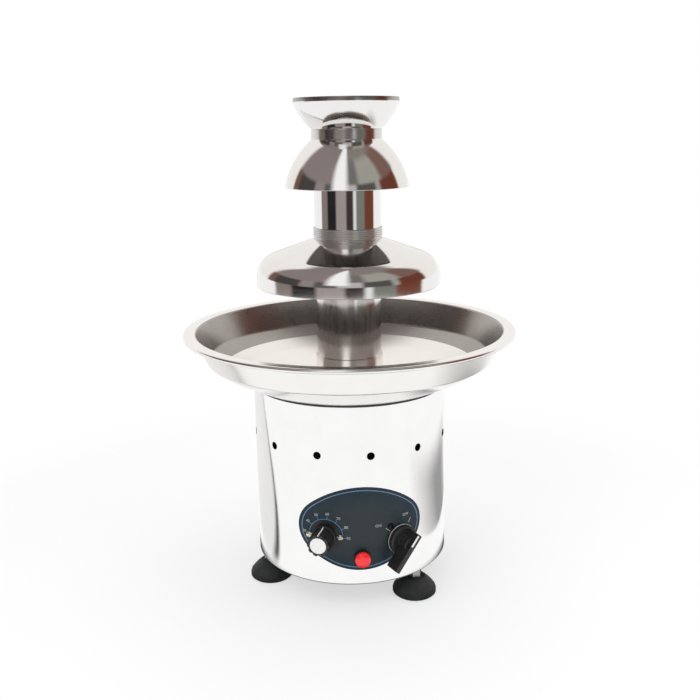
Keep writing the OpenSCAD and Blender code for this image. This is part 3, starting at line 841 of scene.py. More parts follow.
LENS = LampGlass("lamp_red", (0.90, 0.018, 0.024), (0.74, 0.010, 0.014))

MADE: dict[str, bpy.types.Material] = {}


@dataclass(frozen=True)
class Control:
    """Place on the shell's side, with the bore and the screws that it needs there."""

    azimuth: float
    height: float
    bore: float = 0.0
    screws: tuple[Point, ...] = ()


DIAL = Control(-21.0, 60.4, 8.0, ((-12.0, 0.0), (12.0, 0.0)))
SWITCH = Control(23.2, 54.6, 8.0, ((-8.73, 11.58), (8.73, -11.58)))
LAMP = Control(0.0, 44.2, 8.36)
GLAND = Control(180.0, 45.0, 12.0)
SCREW_BORE = 4.2


def material(finish: Finish) -> bpy.types.Material:
    """Gives a finish's material, made once.

    Args:
        finish: The finish.

    Returns:
        The material.
    """
    if finish.name not in MADE:
        MADE[finish.name] = finish.build()
    return MADE[finish.name]


def dress(piece: Piece, finish: Finish, body: str, slot: str, *nodes: str) -> None:
    """Gives a finished piece its material and its place in the frame.

    Args:
        piece: The piece.
        finish: Its finish.
        body: The body that carries it.
        slot: The record's material slot; not used.
        nodes: CAD nodes that it stands for.
    """
    piece.data.materials.clear()
    piece.data.materials.append(material(finish))
    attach(piece, body)
    if nodes:
        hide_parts(*nodes)
    LOG.info("%s: %d faces on %s", piece.name, len(piece.data.polygons), body)


@dataclass(frozen=True)
class Turned:
    """A rounded section that is spun into a piece."""

    name: str
    corners: Sequence[Corner]
    steps: int = 192
    closed: bool = True
    chords: int = 4
    below: float = 32.0
    at: Control | None = None

    def make(self, finish: Finish, body: str, slot: str, *nodes: str) -> Piece:
        """Spins the piece, stands it at its place on the shell if it has one, and dresses it.

        Args:
            finish: Its finish.
            body: The body that carries it.
            slot: The record's material slot.
            nodes: CAD nodes that it stands for.

        Returns:
            The dressed piece.
        """
        piece = Bench.lathe(self.name, rounded(self.corners, self.chords), self.steps, self.closed)
        if self.at:
            Bench.face_out(piece, self.at.azimuth, self.at.height)
        Bench.smooth(piece, self.below)
        dress(piece, finish, body, slot, *nodes)
        return piece


def lean(face: bpy.types.MeshPolygon) -> float:
    """Tells how far a face looks away from the axis, from -1 to 1."""
    x, y, _ = face.center
    return (face.normal.x * x + face.normal.y * y) / max(math.hypot(x, y), WELD)


def reface(piece: Piece, finish: Finish, chosen: Callable[[bpy.types.MeshPolygon], bool]) -> None:
    """Gives some faces of a dressed piece a finish of their own.

    Args:
        piece: The dressed piece.
        finish: The other finish.
        chosen: Tells whether a face gets it.
    """
    piece.data.materials.append(material(finish))
    last = len(piece.data.materials) - 1
    for face in piece.data.polygons:
        if chosen(face):
            face.material_index = last


def coat(finish: Finish, *nodes: str) -> None:
    """Gives CAD nodes that stay a finish of their own.

    Args:
        finish: The finish.
        nodes: Their names.
    """
    for name in nodes:
        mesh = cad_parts[name].data
        mesh.materials.clear()
        mesh.materials.append(material(finish))
        LOG.info("%s: CAD node in %s", name, finish.name)


@dataclass
class Base:
    """Rolled shell with its vents, the pan under it and the cable gland at the back."""

    radius: float = 76.5
    sheet: float = 1.2
    foot: float = 22.0
    top: float = 161.4
    vents: int = 12
    vent: float = 6.0
    vent_z: float = 123.5
    vent_turn: float = 5.4
    gland_bore: float = 8.0
    gland_in: float = 70.73
    gland_lip: float = 74.73
    gland_out: float = 80.5

    def build(self) -> None:
        """Builds and dresses the base."""
        self.shell()
        self.gland()
        # The pan takes the darkened steel: painted shade under the shell.
        coat(PAN_STEEL_SHADED, "base_pan")
        coat(RUBBER, "bowl_gasket")

    def shell(self) -> None:
        """Spins the shell, then cuts its vents and the holes of the controls."""
        inner = self.radius - self.sheet
        section = [(inner, self.foot, 0.2), (self.radius, self.foot, 0.45), (self.radius, self.top, 0.45),
                   (inner, self.top, 0.2)]
        shell = Bench.lathe("shell", rounded(section), 288)
        turns = [self.vent_turn + 360 / self.vents * i for i in range(self.vents)]
        holes = [self.hole(self.vent, turn, self.vent_z) for turn in turns]
        holes += [self.hole(GLAND.bore, GLAND.azimuth, GLAND.height), *self.control_holes()]
        Bench.meet(shell, Bench.gather(holes), Meet.CUT)
        Bench.smooth(shell)
        dress(shell, SHELL_STEEL, "base", "polished_steel", "base_shell")

    def hole(self, diameter: float, azimuth: float, height: float, x: float = 0.0, y: float = 0.0) -> Piece:
        """Round tool through the shell's side.

        Args:
            diameter: Diameter of the hole.
            azimuth: Angle from the front.
            height: Height above the floor.
            x: Offset to the side, square to that angle.
            y: Offset up.

        Returns:
            The tool.
        """
        tool = Bench.bar("hole", diameter, self.radius - 25, self.radius + 8, 40)
        Bench.shift(tool, x, y)
        return Bench.face_out(tool, azimuth, height)

    def control_holes(self) -> list[Piece]:
        """Tools for the bores and screws of the controls.

        Returns:
            The tools.
        """
        tools = []
        for control in (DIAL, SWITCH, LAMP):
            tools.append(self.hole(control.bore, control.azimuth, control.height))
            tools += [self.hole(SCREW_BORE, control.azimuth, control.height, x, y) for x, y in control.screws]
        return tools

    def gland(self) -> None:
        """Spins the rubber cable gland."""
        bore, skin = self.gland_bore / 2, self.radius + PROUD
        corners = [
            (bore, self.gland_in, 0.4), (bore + 4, self.gland_in, 0.6), (bore + 4, self.gland_lip, 0.4),
            (bore + 1.95, self.gland_lip, 0), (bore + 1.95, skin, 0), (bore + 5, skin, 0.2),
            (bore + 5, 78.2, 0.7), (bore + 3.4, 78.6, 0.5), (bore + 2.6, self.gland_out, 0.7),
            (bore, self.gland_out, 0.6),
        ]
        gland = Turned("cable_gland_rubber", corners, 64, at=GLAND)
        gland.make(RUBBER, "base", "black_rubber", "cable_gland")


@dataclass
class Bowl:
    """Spun bowl, and the legs and ring that the tower stands in."""

    rim: float = 130.0
    rim_z: float = 204.2
    sheet: float = 1.2
    dish: float = 200.0
    dish_z: float = 347.19
    dish_edge: float = 112.0
    lip: float = 120.4
    bead: float = 1.8
    flat: float = 42.0
    floor: float = 152.85
    hole: float = 9.05
    ring_in: float = 25.48
    ring_out: float = 26.68
    ring_z: float = 170.35
    ring_top: float = 183.05
    ledge: float = 24.08
    leg: float = 22.0

    def build(self) -> None:
        """Builds and dresses the bowl and the seat."""
        self.bowl()
        self.seat()
        self.legs()

    def bowl(self) -> None:
        """Spins the bowl in one sheet with a beaded rim."""
        under = self.floor - self.sheet
        out = [math.degrees(math.acos(r / self.dish)) for r in (self.flat, self.dish_edge)]
        inside = self.dish - self.sheet
        foot = self.dish_edge - self.sheet
        back = [math.degrees(math.acos(r / inside)) for r in (foot, self.flat - 0.1)]
        mid = (0.0, self.dish_z)
        corners = [(self.hole, under, 0.0)]
        corners += arc(mid, self.dish, -out[0], -out[1], 28)
        corners[-1] = (*corners[-1][:2], 4.0)
        corners += [(self.lip + self.sheet, self.rim_z - self.sheet, 1.6)]
        corners += arc((self.rim - self.bead, self.rim_z - self.bead), self.bead, 160.5, 450, 14)
        corners += [(self.lip, self.rim_z, 2.6)]
        corners += [(foot, self.dish_z - math.sqrt(inside ** 2 - foot ** 2), 5.0)]
        corners += arc(mid, inside, -back[0], -back[1], 28)[2:]
        corners[-1] = (self.flat - 0.2, self.floor, 1.0)
        corners += [(self.hole, self.floor, 0.0)]
        bowl = Turned("bowl_spun", corners, 256, chords=5).make(BOWL_STEEL, "base", "polished_steel", "bowl")
        reach = self.dish_edge * MM
        # The inner wall takes the darkened steel: painted shade.
        reface(bowl, WALL_STEEL_SHADED, lambda face: lean(face) < -0.5)
        reface(bowl, FLOOR_STEEL, lambda face: face.normal.z > 0.9 and face.center.xy.length < reach)

    def seat(self) -> None:
        """Spins the ring that the lower tube slides into."""
        low, shelf, top = self.ring_z, self.ring_z + self.sheet, self.ring_top
        corners = [(self.ledge, low, 0.1), (self.ring_out, low, 0.3), (self.ring_out, top, 0.45),
                   (self.ring_in, top, 0.45), (self.ring_in, shelf, 0), (self.ledge, shelf, 0.1)]
        Turned("seat", corners).make(SATIN_STEEL, "base", "polished_steel", "seat_ring")

    def legs(self) -> None:
        """Spins one leg through its angle and copies it."""
        section = [(self.ring_in, self.floor), (self.ring_out, self.floor), (self.ring_out, self.ring_z),
                   (self.ring_in, self.ring_z)]
        first = Bench.lathe("legs", section, 10, sweep=self.leg)
        turn = -90 - self.leg / 2
        others = [Bench.copy(first, "leg_copy") for _ in range(2)]
        legs = [Bench.shift(leg, turn=turn + at) for leg, at in zip([first, *others], (60, 180, 300))]
        joined = Bench.gather(legs)
        Bench.smooth(joined)
        dress(joined, SATIN_STEEL, "base", "polished_steel", "seat_legs")


@dataclass
class Tower:
    """Tubes, tiers and crown, which lift off one after another."""

    tube_in: float = 23.9
    tube: float = 25.4
    sleeve_in: float = 25.48
    sleeve: float = 26.68
    ledge: float = 24.08
    sheet: float = 1.2
    low_tube: Point = (171.57, 273.224)
    low_edge: Point = (71.3, 239.0)
    low_skirt: float = 6.6
    low_shoulder: float = 18.0
    low_slope: float = 20.0
    low_top: float = 274.444
    low_neck: Point = (264.244, 283.044)
    waist: Point = (275.044, 276.644)
    waist_depth: float = 0.6
    groove_step: float = 1.6
    groove_depth: float = 0.35
    high_tube: Point = (274.464, 347.584)
    high_edge: Point = (47.5, 313.544)
    high_top: float = 349.344
    high_curve: float = 63.5
    high_neck: Point = (338.604, 356.844)
    high_stop: float = 347.604
    crown_low: Point = (26.68, 357.144)
    crown_rim: Point = (40.0, 379.744)
    crown_lip: float = 3.0
    crown_curve: float = 57.6
    spigot_z: float = 348.844

    def build(self) -> None:
        """Builds and dresses the tower from the bottom up."""
        self.pipe("tube_low", self.low_tube, SATIN_STEEL, "lower_tube")
        self.lower_tier()
        self.lower_neck()
        self.pipe("tube_high", self.high_tube, TUBE_STEEL, "upper_tube")
        self.upper_tier()
        self.upper_neck()
        self.crown()

    def pipe(self, name: str, span: Point, finish: Finish, node: str) -> None:
        """Spins a tube.

        Args:
            name: Name of the piece.
            span: Heights of its ends.
            finish: Its finish.
            node: The CAD node that it stands for, which has its body's name.
        """
        section = [(self.tube_in, span[0], 0.3), (self.tube, span[0], 0.4), (self.tube, span[1], 0.4),
                   (self.tube_in, span[1], 0.3)]
        Turned(name, section).make(finish, node, "polished_steel", node)

    def lower_tier(self) -> None:
        """Spins the lower tier: skirt, shoulder and sloping top."""
        edge, low = self.low_edge
        middle = (edge - self.low_shoulder, low + self.low_skirt)
        turn = 90 - self.low_slope
        inner_r = self.low_shoulder - self.sheet
        neck = self.sleeve + PROUD
        fall = math.tan(math.radians(self.low_slope))
        corners = [(edge - self.sheet, low, 0.35), (edge, low, 0.55)]
        corners += arc(middle, self.low_shoulder, 0, turn, 26)
        last = corners[-1]
        corners += [(neck, last[1] + (last[0] - neck) * fall, 0)]
        inner = arc(middle, inner_r, turn, 0, 26)
        first = inner[0]
        corners += [(neck, first[1] + (first[0] - neck) * fall, 0), *inner]
        tier = Turned("tier_low", corners, 256)
        tier = tier.make(TIER_STEEL, "lower_tier", "polished_steel", "lower_tier_dome")
        # Faces that look towards the axis take the darker steel: painted shade under the dome.
        reface(tier, INSIDE_STEEL, lambda face: lean(face) < 0)

    def lower_neck(self) -> None:
        """Spins the lower neck with its waist and ribbed collar."""
        low, top = self.low_neck
        under, over = self.waist
        waist, root = self.sleeve - self.waist_depth, self.sleeve - self.groove_depth
        corners = [(self.sleeve_in, low, 0.2), (self.sleeve, low, 0.3), (self.sleeve, under - 0.2, 0.5),
                   (waist, under + 0.3, 0.4), (waist, over - 0.2, 0.3), (self.sleeve, over + 0.3, 0.3)]
        for i in (3, 2, 1):
            groove = top - i * self.groove_step
            corners += [(self.sleeve, groove - 0.3, 0.15), (root, groove - 0.12, 0),
                        (root, groove + 0.12, 0), (self.sleeve, groove + 0.3, 0.15)]
        corners += [(self.sleeve, top, 0.4), (self.sleeve_in, top, 0.35), (self.sleeve_in, self.low_top, 0),
                    (self.ledge, self.low_top, 0.1), (self.ledge, self.low_top - self.sheet, 0.1),
                    (self.sleeve_in, self.low_top - self.sheet, 0)]
        neck = Turned("neck_low", corners, below=26)
        neck.make(NECK_STEEL, "lower_tier", "turned_steel", "lower_tier_neck")

    def upper_tier(self) -> None:
        """Spins the upper tier's bell."""
        top = (self.sleeve + PROUD, self.high_top)
        centre, low, high = arc_between(self.high_edge, top, self.high_curve, 0)
        corners = arc(centre, self.high_curve, low, high, 40)
        corners[0] = (*corners[0][:2], 0.5)
        _, low, _ = arc_between(self.high_edge, top, self.high_curve, self.sheet)
        reach = math.degrees(math.acos((top[0] - centre[0]) / (self.high_curve - self.sheet)))
        corners += arc(centre, self.high_curve - self.sheet, reach, low, 40)
        corners[-1] = (*corners[-1][:2], 0.3)
        tier = Turned("tier_high", corners, 224)
        tier = tier.make(TIER_STEEL, "upper_tier", "polished_steel", "upper_tier_dome")
        # Faces that look towards the axis take the darker steel: painted shade under the dome.
        reface(tier, INSIDE_STEEL, lambda face: lean(face) < 0)

    def upper_neck(self) -> None:
        """Spins the upper neck, which holds the tube below and the crown above."""
        low, top = self.high_neck
        stop = self.high_stop
        corners = [(self.sleeve_in, low, 0.2), (self.sleeve, low, 0.3), (self.sleeve, top, 0.35),
                   (self.sleeve_in, top, 0.3), (self.sleeve_in, stop + self.sheet, 0),
                   (self.ledge, stop + self.sheet, 0.1), (self.ledge, stop, 0.1), (self.sleeve_in, stop, 0)]
        Turned("neck_high", corners).make(COLLAR_STEEL, "upper_tier", "polished_steel", "upper_tier_neck")

    def crown(self) -> None:
        """Spins the flared crown with its upright lip and the spigot under it."""
        rim, top = self.crown_rim
        turn = top - self.crown_lip
        centre, low, high = arc_between(self.crown_low, (rim, turn), self.crown_curve, 0)
        spigot = self.tube - self.sheet
        shelf = self.crown_low[1] + self.sheet
        inner = self.crown_curve - self.sheet
        corners = [(spigot, self.spigot_z, 0.3), (self.tube, self.spigot_z, 0.4),
                   (self.tube, self.crown_low[1], 0)]
        corners += arc(centre, self.crown_curve, low, high, 36)
        corners += [(rim, top, 0.45), (rim - self.sheet, top, 0.45)]
        ends = [math.degrees(math.asin((z - centre[1]) / inner)) for z in (turn, shelf)]
        corners += [*arc(centre, inner, ends[0], ends[1], 36), (spigot, shelf, 0.4)]
        crown = Turned("crown_spun", corners, 224).make(CROWN_STEEL, "crown", "polished_steel", "crown_cup")
        # The lip above the turn takes the darkened steel: painted shade.
        reface(crown, WALL_STEEL_SHADED, lambda face: face.center.z > turn * MM)


@dataclass
class Auger:
    """Screw that lifts the chocolate, with its drive socket."""

    core: float = 12.0
    socket: float = 18.0
    socket_z: float = 156.87
    socket_top: float = 174.87
    tip: float = 365.144
    bore: float = 8.1
    pin: float = 3.05
    pin_z: float = 164.97
    slot: float = 3.4
    root: float = 5.98
    flight: float = 44.8
    flight_t: float = 1.6
    flight_z: float = 159.87
    flight_top: float = 359.80
    pitch: float = 34.0
    runs: int = 6

    def build(self) -> None:
        """Builds and dresses the auger."""
        self.shaft()
        self.screw()

    def shaft(self) -> None:
        """Spins the core and cuts its socket, slot and pin seat."""
        half, wide, bore = self.core / 2, self.socket / 2, self.bore / 2
        cone = self.socket_top + wide - half
        section = rounded([
            (bore, self.socket_z, 0.3), (wide, self.socket_z, 0.5), (wide, self.socket_top, 0.6),
            (half, cone, 0.8), (half, self.tip - 2, 0.8), (half - 2, self.tip, 0.6), (0, self.tip, 0),
            (0, self.socket_top - 1, 0), (bore, self.socket_top - 1, 0),
        ])
        core = Bench.lathe("auger_shaft", section, 96)
        side = self.slot / 2
        slot = Bench.block("slot", (-20, -side, self.socket_z - 5), (20, side, self.pin_z))
        Bench.meet(core, slot, Meet.CUT)
        seat = Bench.bar("seat", self.pin, -20, 20, 32)
        seat.rotation_euler = (0, math.pi / 2, 0)
        seat.location = (0, 0, self.pin_z * MM)
        Bench.settle(seat)
        Bench.meet(core, seat, Meet.CUT)
        Bench.smooth(core)
        dress(core, AUGER_STEEL, "auger", "polished_steel", "auger_core")

    def screw(self) -> None:
        """Sweeps the flight's section up its helix, then clears the socket."""
        low, high = self.flight_z, self.flight_z + self.flight_t
        edge = self.flight / 2
        section = rounded([(self.root, low, 0), (edge, low, 0.4), (edge, high, 0.4), (self.root, high, 0)], 3)
        line = [(r, 0.0, z) for r, z in section]
        flight = Bench.trace("auger_screw", line + line[:1])
        Bench.work(Bench.merge)
        rise = self.flight_top - self.flight_t - self.flight_z
        Bench.apply(
            flight, "SCREW", axis="Z", iterations=self.runs, angle=math.tau * rise / self.pitch / self.runs,
            screw_offset=rise / self.runs * MM, steps=56, render_steps=56, use_merge_vertices=True,
            merge_threshold=WELD,
        )
        Bench.work(Bench.merge, lambda: bpy.ops.mesh.fill_holes(sides=len(line) + 2), Bench.outward)
        wide, half = self.socket / 2 - 0.1, self.core / 2 - 0.1
        foot, head = self.socket_z - 9, self.flight_top + 9
        cone = self.socket_top + wide - half
        room = Bench.lathe("room", [
            (0, foot), (wide, foot), (wide, self.socket_top), (half, cone), (half, head), (0, head)
        ], 96, closed=False)
        Bench.meet(flight, room, Meet.CUT)
        Bench.smooth(flight, 40)
        dress(flight, AUGER_STEEL, "auger", "polished_steel", "auger_flight")


class Label(Enum):
    """Words that the panel carries."""

    OFF = "OFF"
    ON = "ON"


@dataclass
class ControlPanel:
    """Oval overlay with its print, the lamp and the screws of the controls."""

    shell: float = 76.5
    face: float = 76.9
    width: float = 92.5
    height: float = 66.0
    end: float = 24.5
    centre_z: float = 66.7
    scale: Control = Control(-20.4, 60.9)
    scale_r: float = 13.1
    first_mark: float = 175.0
    mark_step: float = 30.0
    numbers: tuple[int, ...] = (30, 40, 50, 60, 70, 80, 90)
    lamp: float = 12.3
    lamp_l: float = 7.6
    bezel_l: float = 4.0
    ink: float = 0.05
    letter: float = 2.1
    stroke: float = 0.5

    def build(self) -> None:
        """Builds and dresses the panel."""
        self.film()
        self.border()
        self.heat_scale()
        self.switch_scale()
        self.lens()
        self.bezel()
        self.screws()

    def film(self) -> None:
        """Keeps the oval part of a thin ring and cuts its holes."""
        back = self.shell + PROUD
        section = [(back, 20), (self.face, 20), (self.face, 115), (back, 115)]
        film = Bench.lathe("overlay", section, 360)
        punch = Bench.plate("punch", oval(self.width, self.height, self.end), 30, 100)
        punch.rotation_euler = (math.pi / 2, 0, 0)
        punch.location = (0, 0, self.centre_z * MM)
        Bench.settle(punch)
        Bench.meet(film, punch, Meet.KEEP)
        Bench.meet(film, Bench.gather(Base().control_holes()), Meet.CUT)
        Bench.smooth(film)
        dress(film, FILM, "base", "panel_film", "control_panel")

    def wrapped(self, x: float, y: float, at: Control) -> Corner:
        """Point of a flat drawing laid on the panel.

        Args:
            x: Distance to the right of the drawing's middle.
            y: Distance above it.
            at: Place of the drawing's middle.

        Returns:
            The point just proud of the panel.
        """
        turn = math.radians(at.azimuth) + x / self.face
        r = self.face + PROUD
        return r * math.sin(turn), -r * math.cos(turn), at.height + y

    def band(self, name: str, first: Sequence[Corner], second: Sequence[Corner], loop: bool) -> Piece:
        """Bridges two lines into a printed band with the ink's thickness.

        Args:
            name: Name of the piece.
            first: Points of one edge.
            second: Points of the other edge.
            loop: Whether the lines close.

        Returns:
            The band.
        """
        edges = []
        for line in (first, second):
            edge = Bench.trace(name, [*line, line[0]] if loop else line)
            Bench.work(Bench.merge)
            edges.append(edge)
        band = Bench.gather(edges)
        Bench.work(bpy.ops.mesh.bridge_edge_loops)
        return self.thicken(band)

    def thicken(self, print_: Piece) -> Piece:
        """Turns a printed sheet's faces outwards and gives it the ink's thickness.

        Args:
            print_: The sheet.

        Returns:
            The same piece.
        """
        Bench.pick(print_)
        Bench.work(Bench.outward)
        if sum(face.area * lean(face) for face in print_.data.polygons) < 0:
            Bench.work(bpy.ops.mesh.flip_normals)
        Bench.apply(print_, "SOLIDIFY", thickness=self.ink * MM, offset=1.0)
        return print_

    def border(self) -> None:
        """Prints the thin line inside the panel's edge."""
        lines = []
        for inset in (2.1, 2.75):
            flat = oval(self.width - 2 * inset, self.height - 2 * inset, self.end - inset)
            r = self.face + PROUD
            lines.append([(x, -math.sqrt(r * r - x * x), self.centre_z + y) for x, y in flat])
        dress(self.band("print_border", *lines, True), INK_BLUE, "base", "panel_film")

    def sweep(self, name: str, span: Point, start: float, end: float, at: Control) -> Piece:
        """Prints part of a ring round a control.

        Args:
            name: Name of the piece.
            span: Inner and outer radius.
            start: First angle from level.
            end: Last angle.
            at: The ring's middle.

        Returns:
            The ring.
        """
        count = max(2, int(abs(end - start) / 3))
        turns = [math.radians(start + (end - start) * i / count) for i in range(count + 1)]
        lines = [[self.wrapped(r * math.cos(t), r * math.sin(t), at) for t in turns] for r in span]
        return self.band(name, lines[0], lines[1], False)

    def tick(self, span: Point, angle: float, at: Control) -> Piece:
        """Prints a short stroke that points at a control's middle.

        Args:
            span: Radii of its near and far ends.
            angle: Its angle from level.
            at: The control's place.

        Returns:
            The stroke.
        """
        cos, sin = math.cos(math.radians(angle)), math.sin(math.radians(angle))
        lines = [
            [self.wrapped(r * cos - w * sin, r * sin + w * cos, at) for r in span]
            for w in (-self.stroke / 2, self.stroke / 2)
        ]
        return self.band("mark", lines[0], lines[1], False)

    def word(self, text: str, x: float, y: float, at: Control) -> Piece:
        """Prints a number or a word on the panel.

        Args:
            text: What it says.
            x: Distance to the right of the control's middle.
            y: Distance above it.
            at: The control's place.

        Returns:
            The printed word.
        """
        Bench.clear()
        bpy.ops.object.text_add()
        line = bpy.context.object
        line.data.body = text
        line.data.size = self.letter * MM / 0.7
        line.data.align_x = "CENTER"
        line.data.align_y = "CENTER"
        bpy.ops.object.convert(target="MESH")
        word = bpy.context.object
        word.name = "print_word"
        Bench.work(Bench.merge)
        word.location = (0, 0, (self.face + 0.3) * MM)
        Bench.settle(word)
        Bench.face_out(word, at.azimuth + math.degrees(x / self.face), at.height + y)
        drum = Bench.lathe("drum", [(self.face, 10), (self.face, 120)], 360, closed=False)
        Bench.apply(
            word, "SHRINKWRAP", target=drum, wrap_method="NEAREST_SURFACEPOINT", wrap_mode="ABOVE_SURFACE",
            offset=PROUD * MM,
        )
        bpy.data.objects.remove(drum, do_unlink=True)
        return self.thicken(word)

    def heat_scale(self) -> None:
        """Prints the heat dial's black disc, arc, marks and numbers."""
        r = self.scale_r
        disc = self.sweep("print_disc", (4.4, r - 0.4), -180, 180, self.scale)
        dress(disc, INK_BLACK, "base", "panel_film")
        strokes = [self.sweep("print_heat_arc", (r - 0.25, r + 0.25), -5, 176, self.scale)]
        words = []
        for i, number in enumerate(self.numbers):
            angle = self.first_mark - self.mark_step * i
            t, far = math.radians(angle), r + 4.2
            strokes.append(self.tick((r, r + 2.2), angle, self.scale))
            words.append(self.word(str(number), far * math.cos(t), far * math.sin(t), self.scale))
        dress(Bench.gather(strokes), INK_SKY, "base", "panel_film")
        numbers = Bench.gather(words)
        numbers.name = "print_heat_numbers"
        dress(numbers, INK_PALE, "base", "panel_film")

    def switch_scale(self) -> None:
        """Prints the switch's two marks and their words."""
        strokes = [self.tick((12.2, 16.6), 140, SWITCH), self.tick((13.2, 17.2), 60, SWITCH)]
        strokes[0].name = "print_switch_marks"
        strokes.append(self.word(Label.ON.value, -18.6, 13.5, SWITCH))
        strokes.append(self.word(Label.OFF.value, 4.0, 18.6, SWITCH))
        dress(Bench.gather(strokes), INK_PALE, "base", "panel_film")

    def lens(self) -> None:
        """Spins the lamp's lens with a slightly crowned front."""
        r, low, top = self.lamp / 2, self.face + self.bezel_l - 1.5, self.face + self.lamp_l
        corners = [(0, low, 0), (r - 0.3, low, 0.1), (r - 0.3, top - 1.2, 1.2), (r - 2.6, top - 0.25, 2.0),
                   (0, top, 0)]
        lens = Turned("lamp_red_lens", corners, 72, closed=False, chords=5, at=LAMP)
        lens.make(LENS, "base", "red_lens", "lamp_lens")

    def bezel(self) -> None:
        """Spins the black barrel that the lens sits in."""
        r, low = self.lamp / 2, self.face + PROUD
        top = low + self.bezel_l
        corners = [(0, low, 0), (r, low, 0.15), (r, top, 0.3), (r - 0.28, top, 0.1), (r - 0.28, top - 1.4, 0),
                   (0, top - 1.4, 0)]
        Turned("lamp_bezel", corners, 72, closed=False, at=LAMP).make(KNOB_BLACK, "base", "black_plastic")

    def screw(self, name: str, low: float, seat: float, turn: float) -> Piece:
        """Pan-head screw with a slot.

        Args:
            name: Name of the piece.
            low: Distance of its tip from the axis.
            seat: Distance of its head's underside from the axis.
            turn: Turn of its slot in degrees.

        Returns:
            The screw, at the axis.
        """
        top = seat + 1.8
        corners = [(0, low, 0), (2, low, 0.3), (2, seat, 0), (2.45, seat, 0.15), (2.45, seat + 1.0, 0.7),
                   (1.2, top, 1.0), (0, top, 0)]
        screw = Bench.lathe(name, rounded(corners), 40, closed=False)
        slot = Bench.block("slot", (-3, -0.35, top - 0.8), (3, 0.35, top + 1))
        Bench.shift(slot, turn=turn)
        Bench.meet(screw, slot, Meet.CUT)
        return screw

    def screws(self) -> None:
        """Places the two pairs of screws."""
        self.pair(
            "screws_dial", DIAL, 72.04, 76.32, (35, -20), SCREW_HEAD, "screw_steel", "thermostat_screws"
        )
        self.pair(
            "screws_switch", SWITCH, 67.84, 76.66, (70, 15), SCREW_BLACK, "dark_screw", "switch_screws"
        )

    def pair(self, name: str, at: Control, low: float, seat: float, turns: Point, finish: Finish, slot: str,
             node: str) -> None:
        """Makes a control's two screws.

        Args:
            name: Name of the piece.
            at: The control.
            low: Distance of the tips from the axis.
            seat: Distance of the heads' undersides from the axis.
            turns: Turns of the two slots.
            finish: Their finish.
            slot: The record's material slot.
            node: The CAD node that they stand for.
        """
        made = []
        for (x, y), turn in zip(at.screws, turns):
            one = Bench.shift(self.screw(name, low, seat, turn), x, y)
            made.append(Bench.face_out(one, at.azimuth, at.height))
        joined = Bench.gather(made)
        Bench.smooth(joined)
        dress(joined, finish, "base", slot, node)


@dataclass
class HeatDial:
    """Fluted heat knob with a white cap and a pointer line."""

    at: Control = DIAL
    back: float = 77.4
    length: float = 16.5
    skirt: float = 18.4
    skirt_t: float = 3.0
    nose: float = 17.0
    cap: float = 12.4
    flutes: int = 10
    bore: float = 6.02

    def build(self) -> None:
        """Builds and dresses the heat dial."""
        self.knob()
        self.cap_disc()
        self.pointer()
        coat(PLATED, "thermostat_spindle")

    def knob(self) -> None:
        """Draws in the flutes of a bar, rounds it and welds the skirt on."""
        front, step_z, sides = self.back + self.length, self.back + self.skirt_t, 16
        knob = Bench.bar("knob_heat", self.nose, self.back + 0.5, front, self.flutes * sides)
        Bench.pick(knob)
        step = math.tau / (self.flutes * sides)
        for depth, picks in ((0.88, (7, 8, 9)), (0.74, (6, 10)), (0.46, (5, 11))):
            bpy.ops.object.mode_set(mode="EDIT")
            bpy.ops.mesh.select_all(action="DESELECT")
            bpy.ops.object.mode_set(mode="OBJECT")
            for vertex in knob.data.vertices:
                vertex.select = round(math.atan2(vertex.co.y, vertex.co.x) / step) % sides in picks
            bpy.ops.object.mode_set(mode="EDIT")
            pull = 1 - depth / (self.nose / 2)
            bpy.ops.transform.resize(value=(pull, pull, 1), center_override=(0, 0, 0))
            bpy.ops.object.mode_set(mode="OBJECT")
        Bench.soften(knob, 0.4, 3, 60)
        skirt = Bench.lathe("skirt", rounded([
            (0, self.back, 0), (self.skirt / 2, self.back, 0.3), (self.skirt / 2, step_z - 0.7, 0.4),
            (self.nose / 2 + 0.1, step_z, 0.2), (0, step_z, 0),
        ]), 96, closed=False)
        Bench.meet(knob, skirt, Meet.WELD)
        Bench.meet(knob, Bench.bar("recess", self.cap, front - 1.2, front + 2, 72), Meet.CUT)
        Bench.meet(knob, Bench.bar("bore", self.bore, self.back - 1, front - 6, 32), Meet.CUT)
        Bench.face_out(knob, self.at.azimuth, self.at.height)
        Bench.smooth(knob)
        dress(knob, KNOB_BLACK, "heat_dial", "black_plastic", "heat_knob")

    def cap_disc(self) -> None:
        """Spins the slightly crowned cap."""
        low, top = self.back + self.length - 1.2, self.back + self.length + 0.4
        r = self.cap / 2 - PROUD
        corners = [(0, low, 0), (r, low, 0.1), (r, top - 0.25, 0.35), (r - 1.6, top, 1.2), (0, top, 0)]
        cap = Turned("knob_heat_cap", corners, 72, closed=False, at=self.at)
        cap.make(CAP_WHITE, "heat_dial", "white_plastic", "heat_knob_cap")

    def pointer(self) -> None:
        """Lays the white pointer line in the flute at the top."""
        r, foot = self.nose / 2, self.back + self.skirt_t
        head = foot + self.length - 3.3
        line = Bench.block("knob_heat_pointer", (-0.4, r - 1.3, foot - 0.2), (0.4, r - 0.25, head))
        Bench.soften(line, 0.12, 2)
        tail = Bench.block("tail", (-0.4, r - 0.6, foot - 0.6), (0.4, self.skirt / 2 - 0.3, foot - 0.05))
        Bench.soften(tail, 0.12, 2)
        Bench.gather([line, tail])
        Bench.face_out(line, self.at.azimuth, self.at.height)
        dress(line, CAP_WHITE, "heat_dial", "white_plastic")


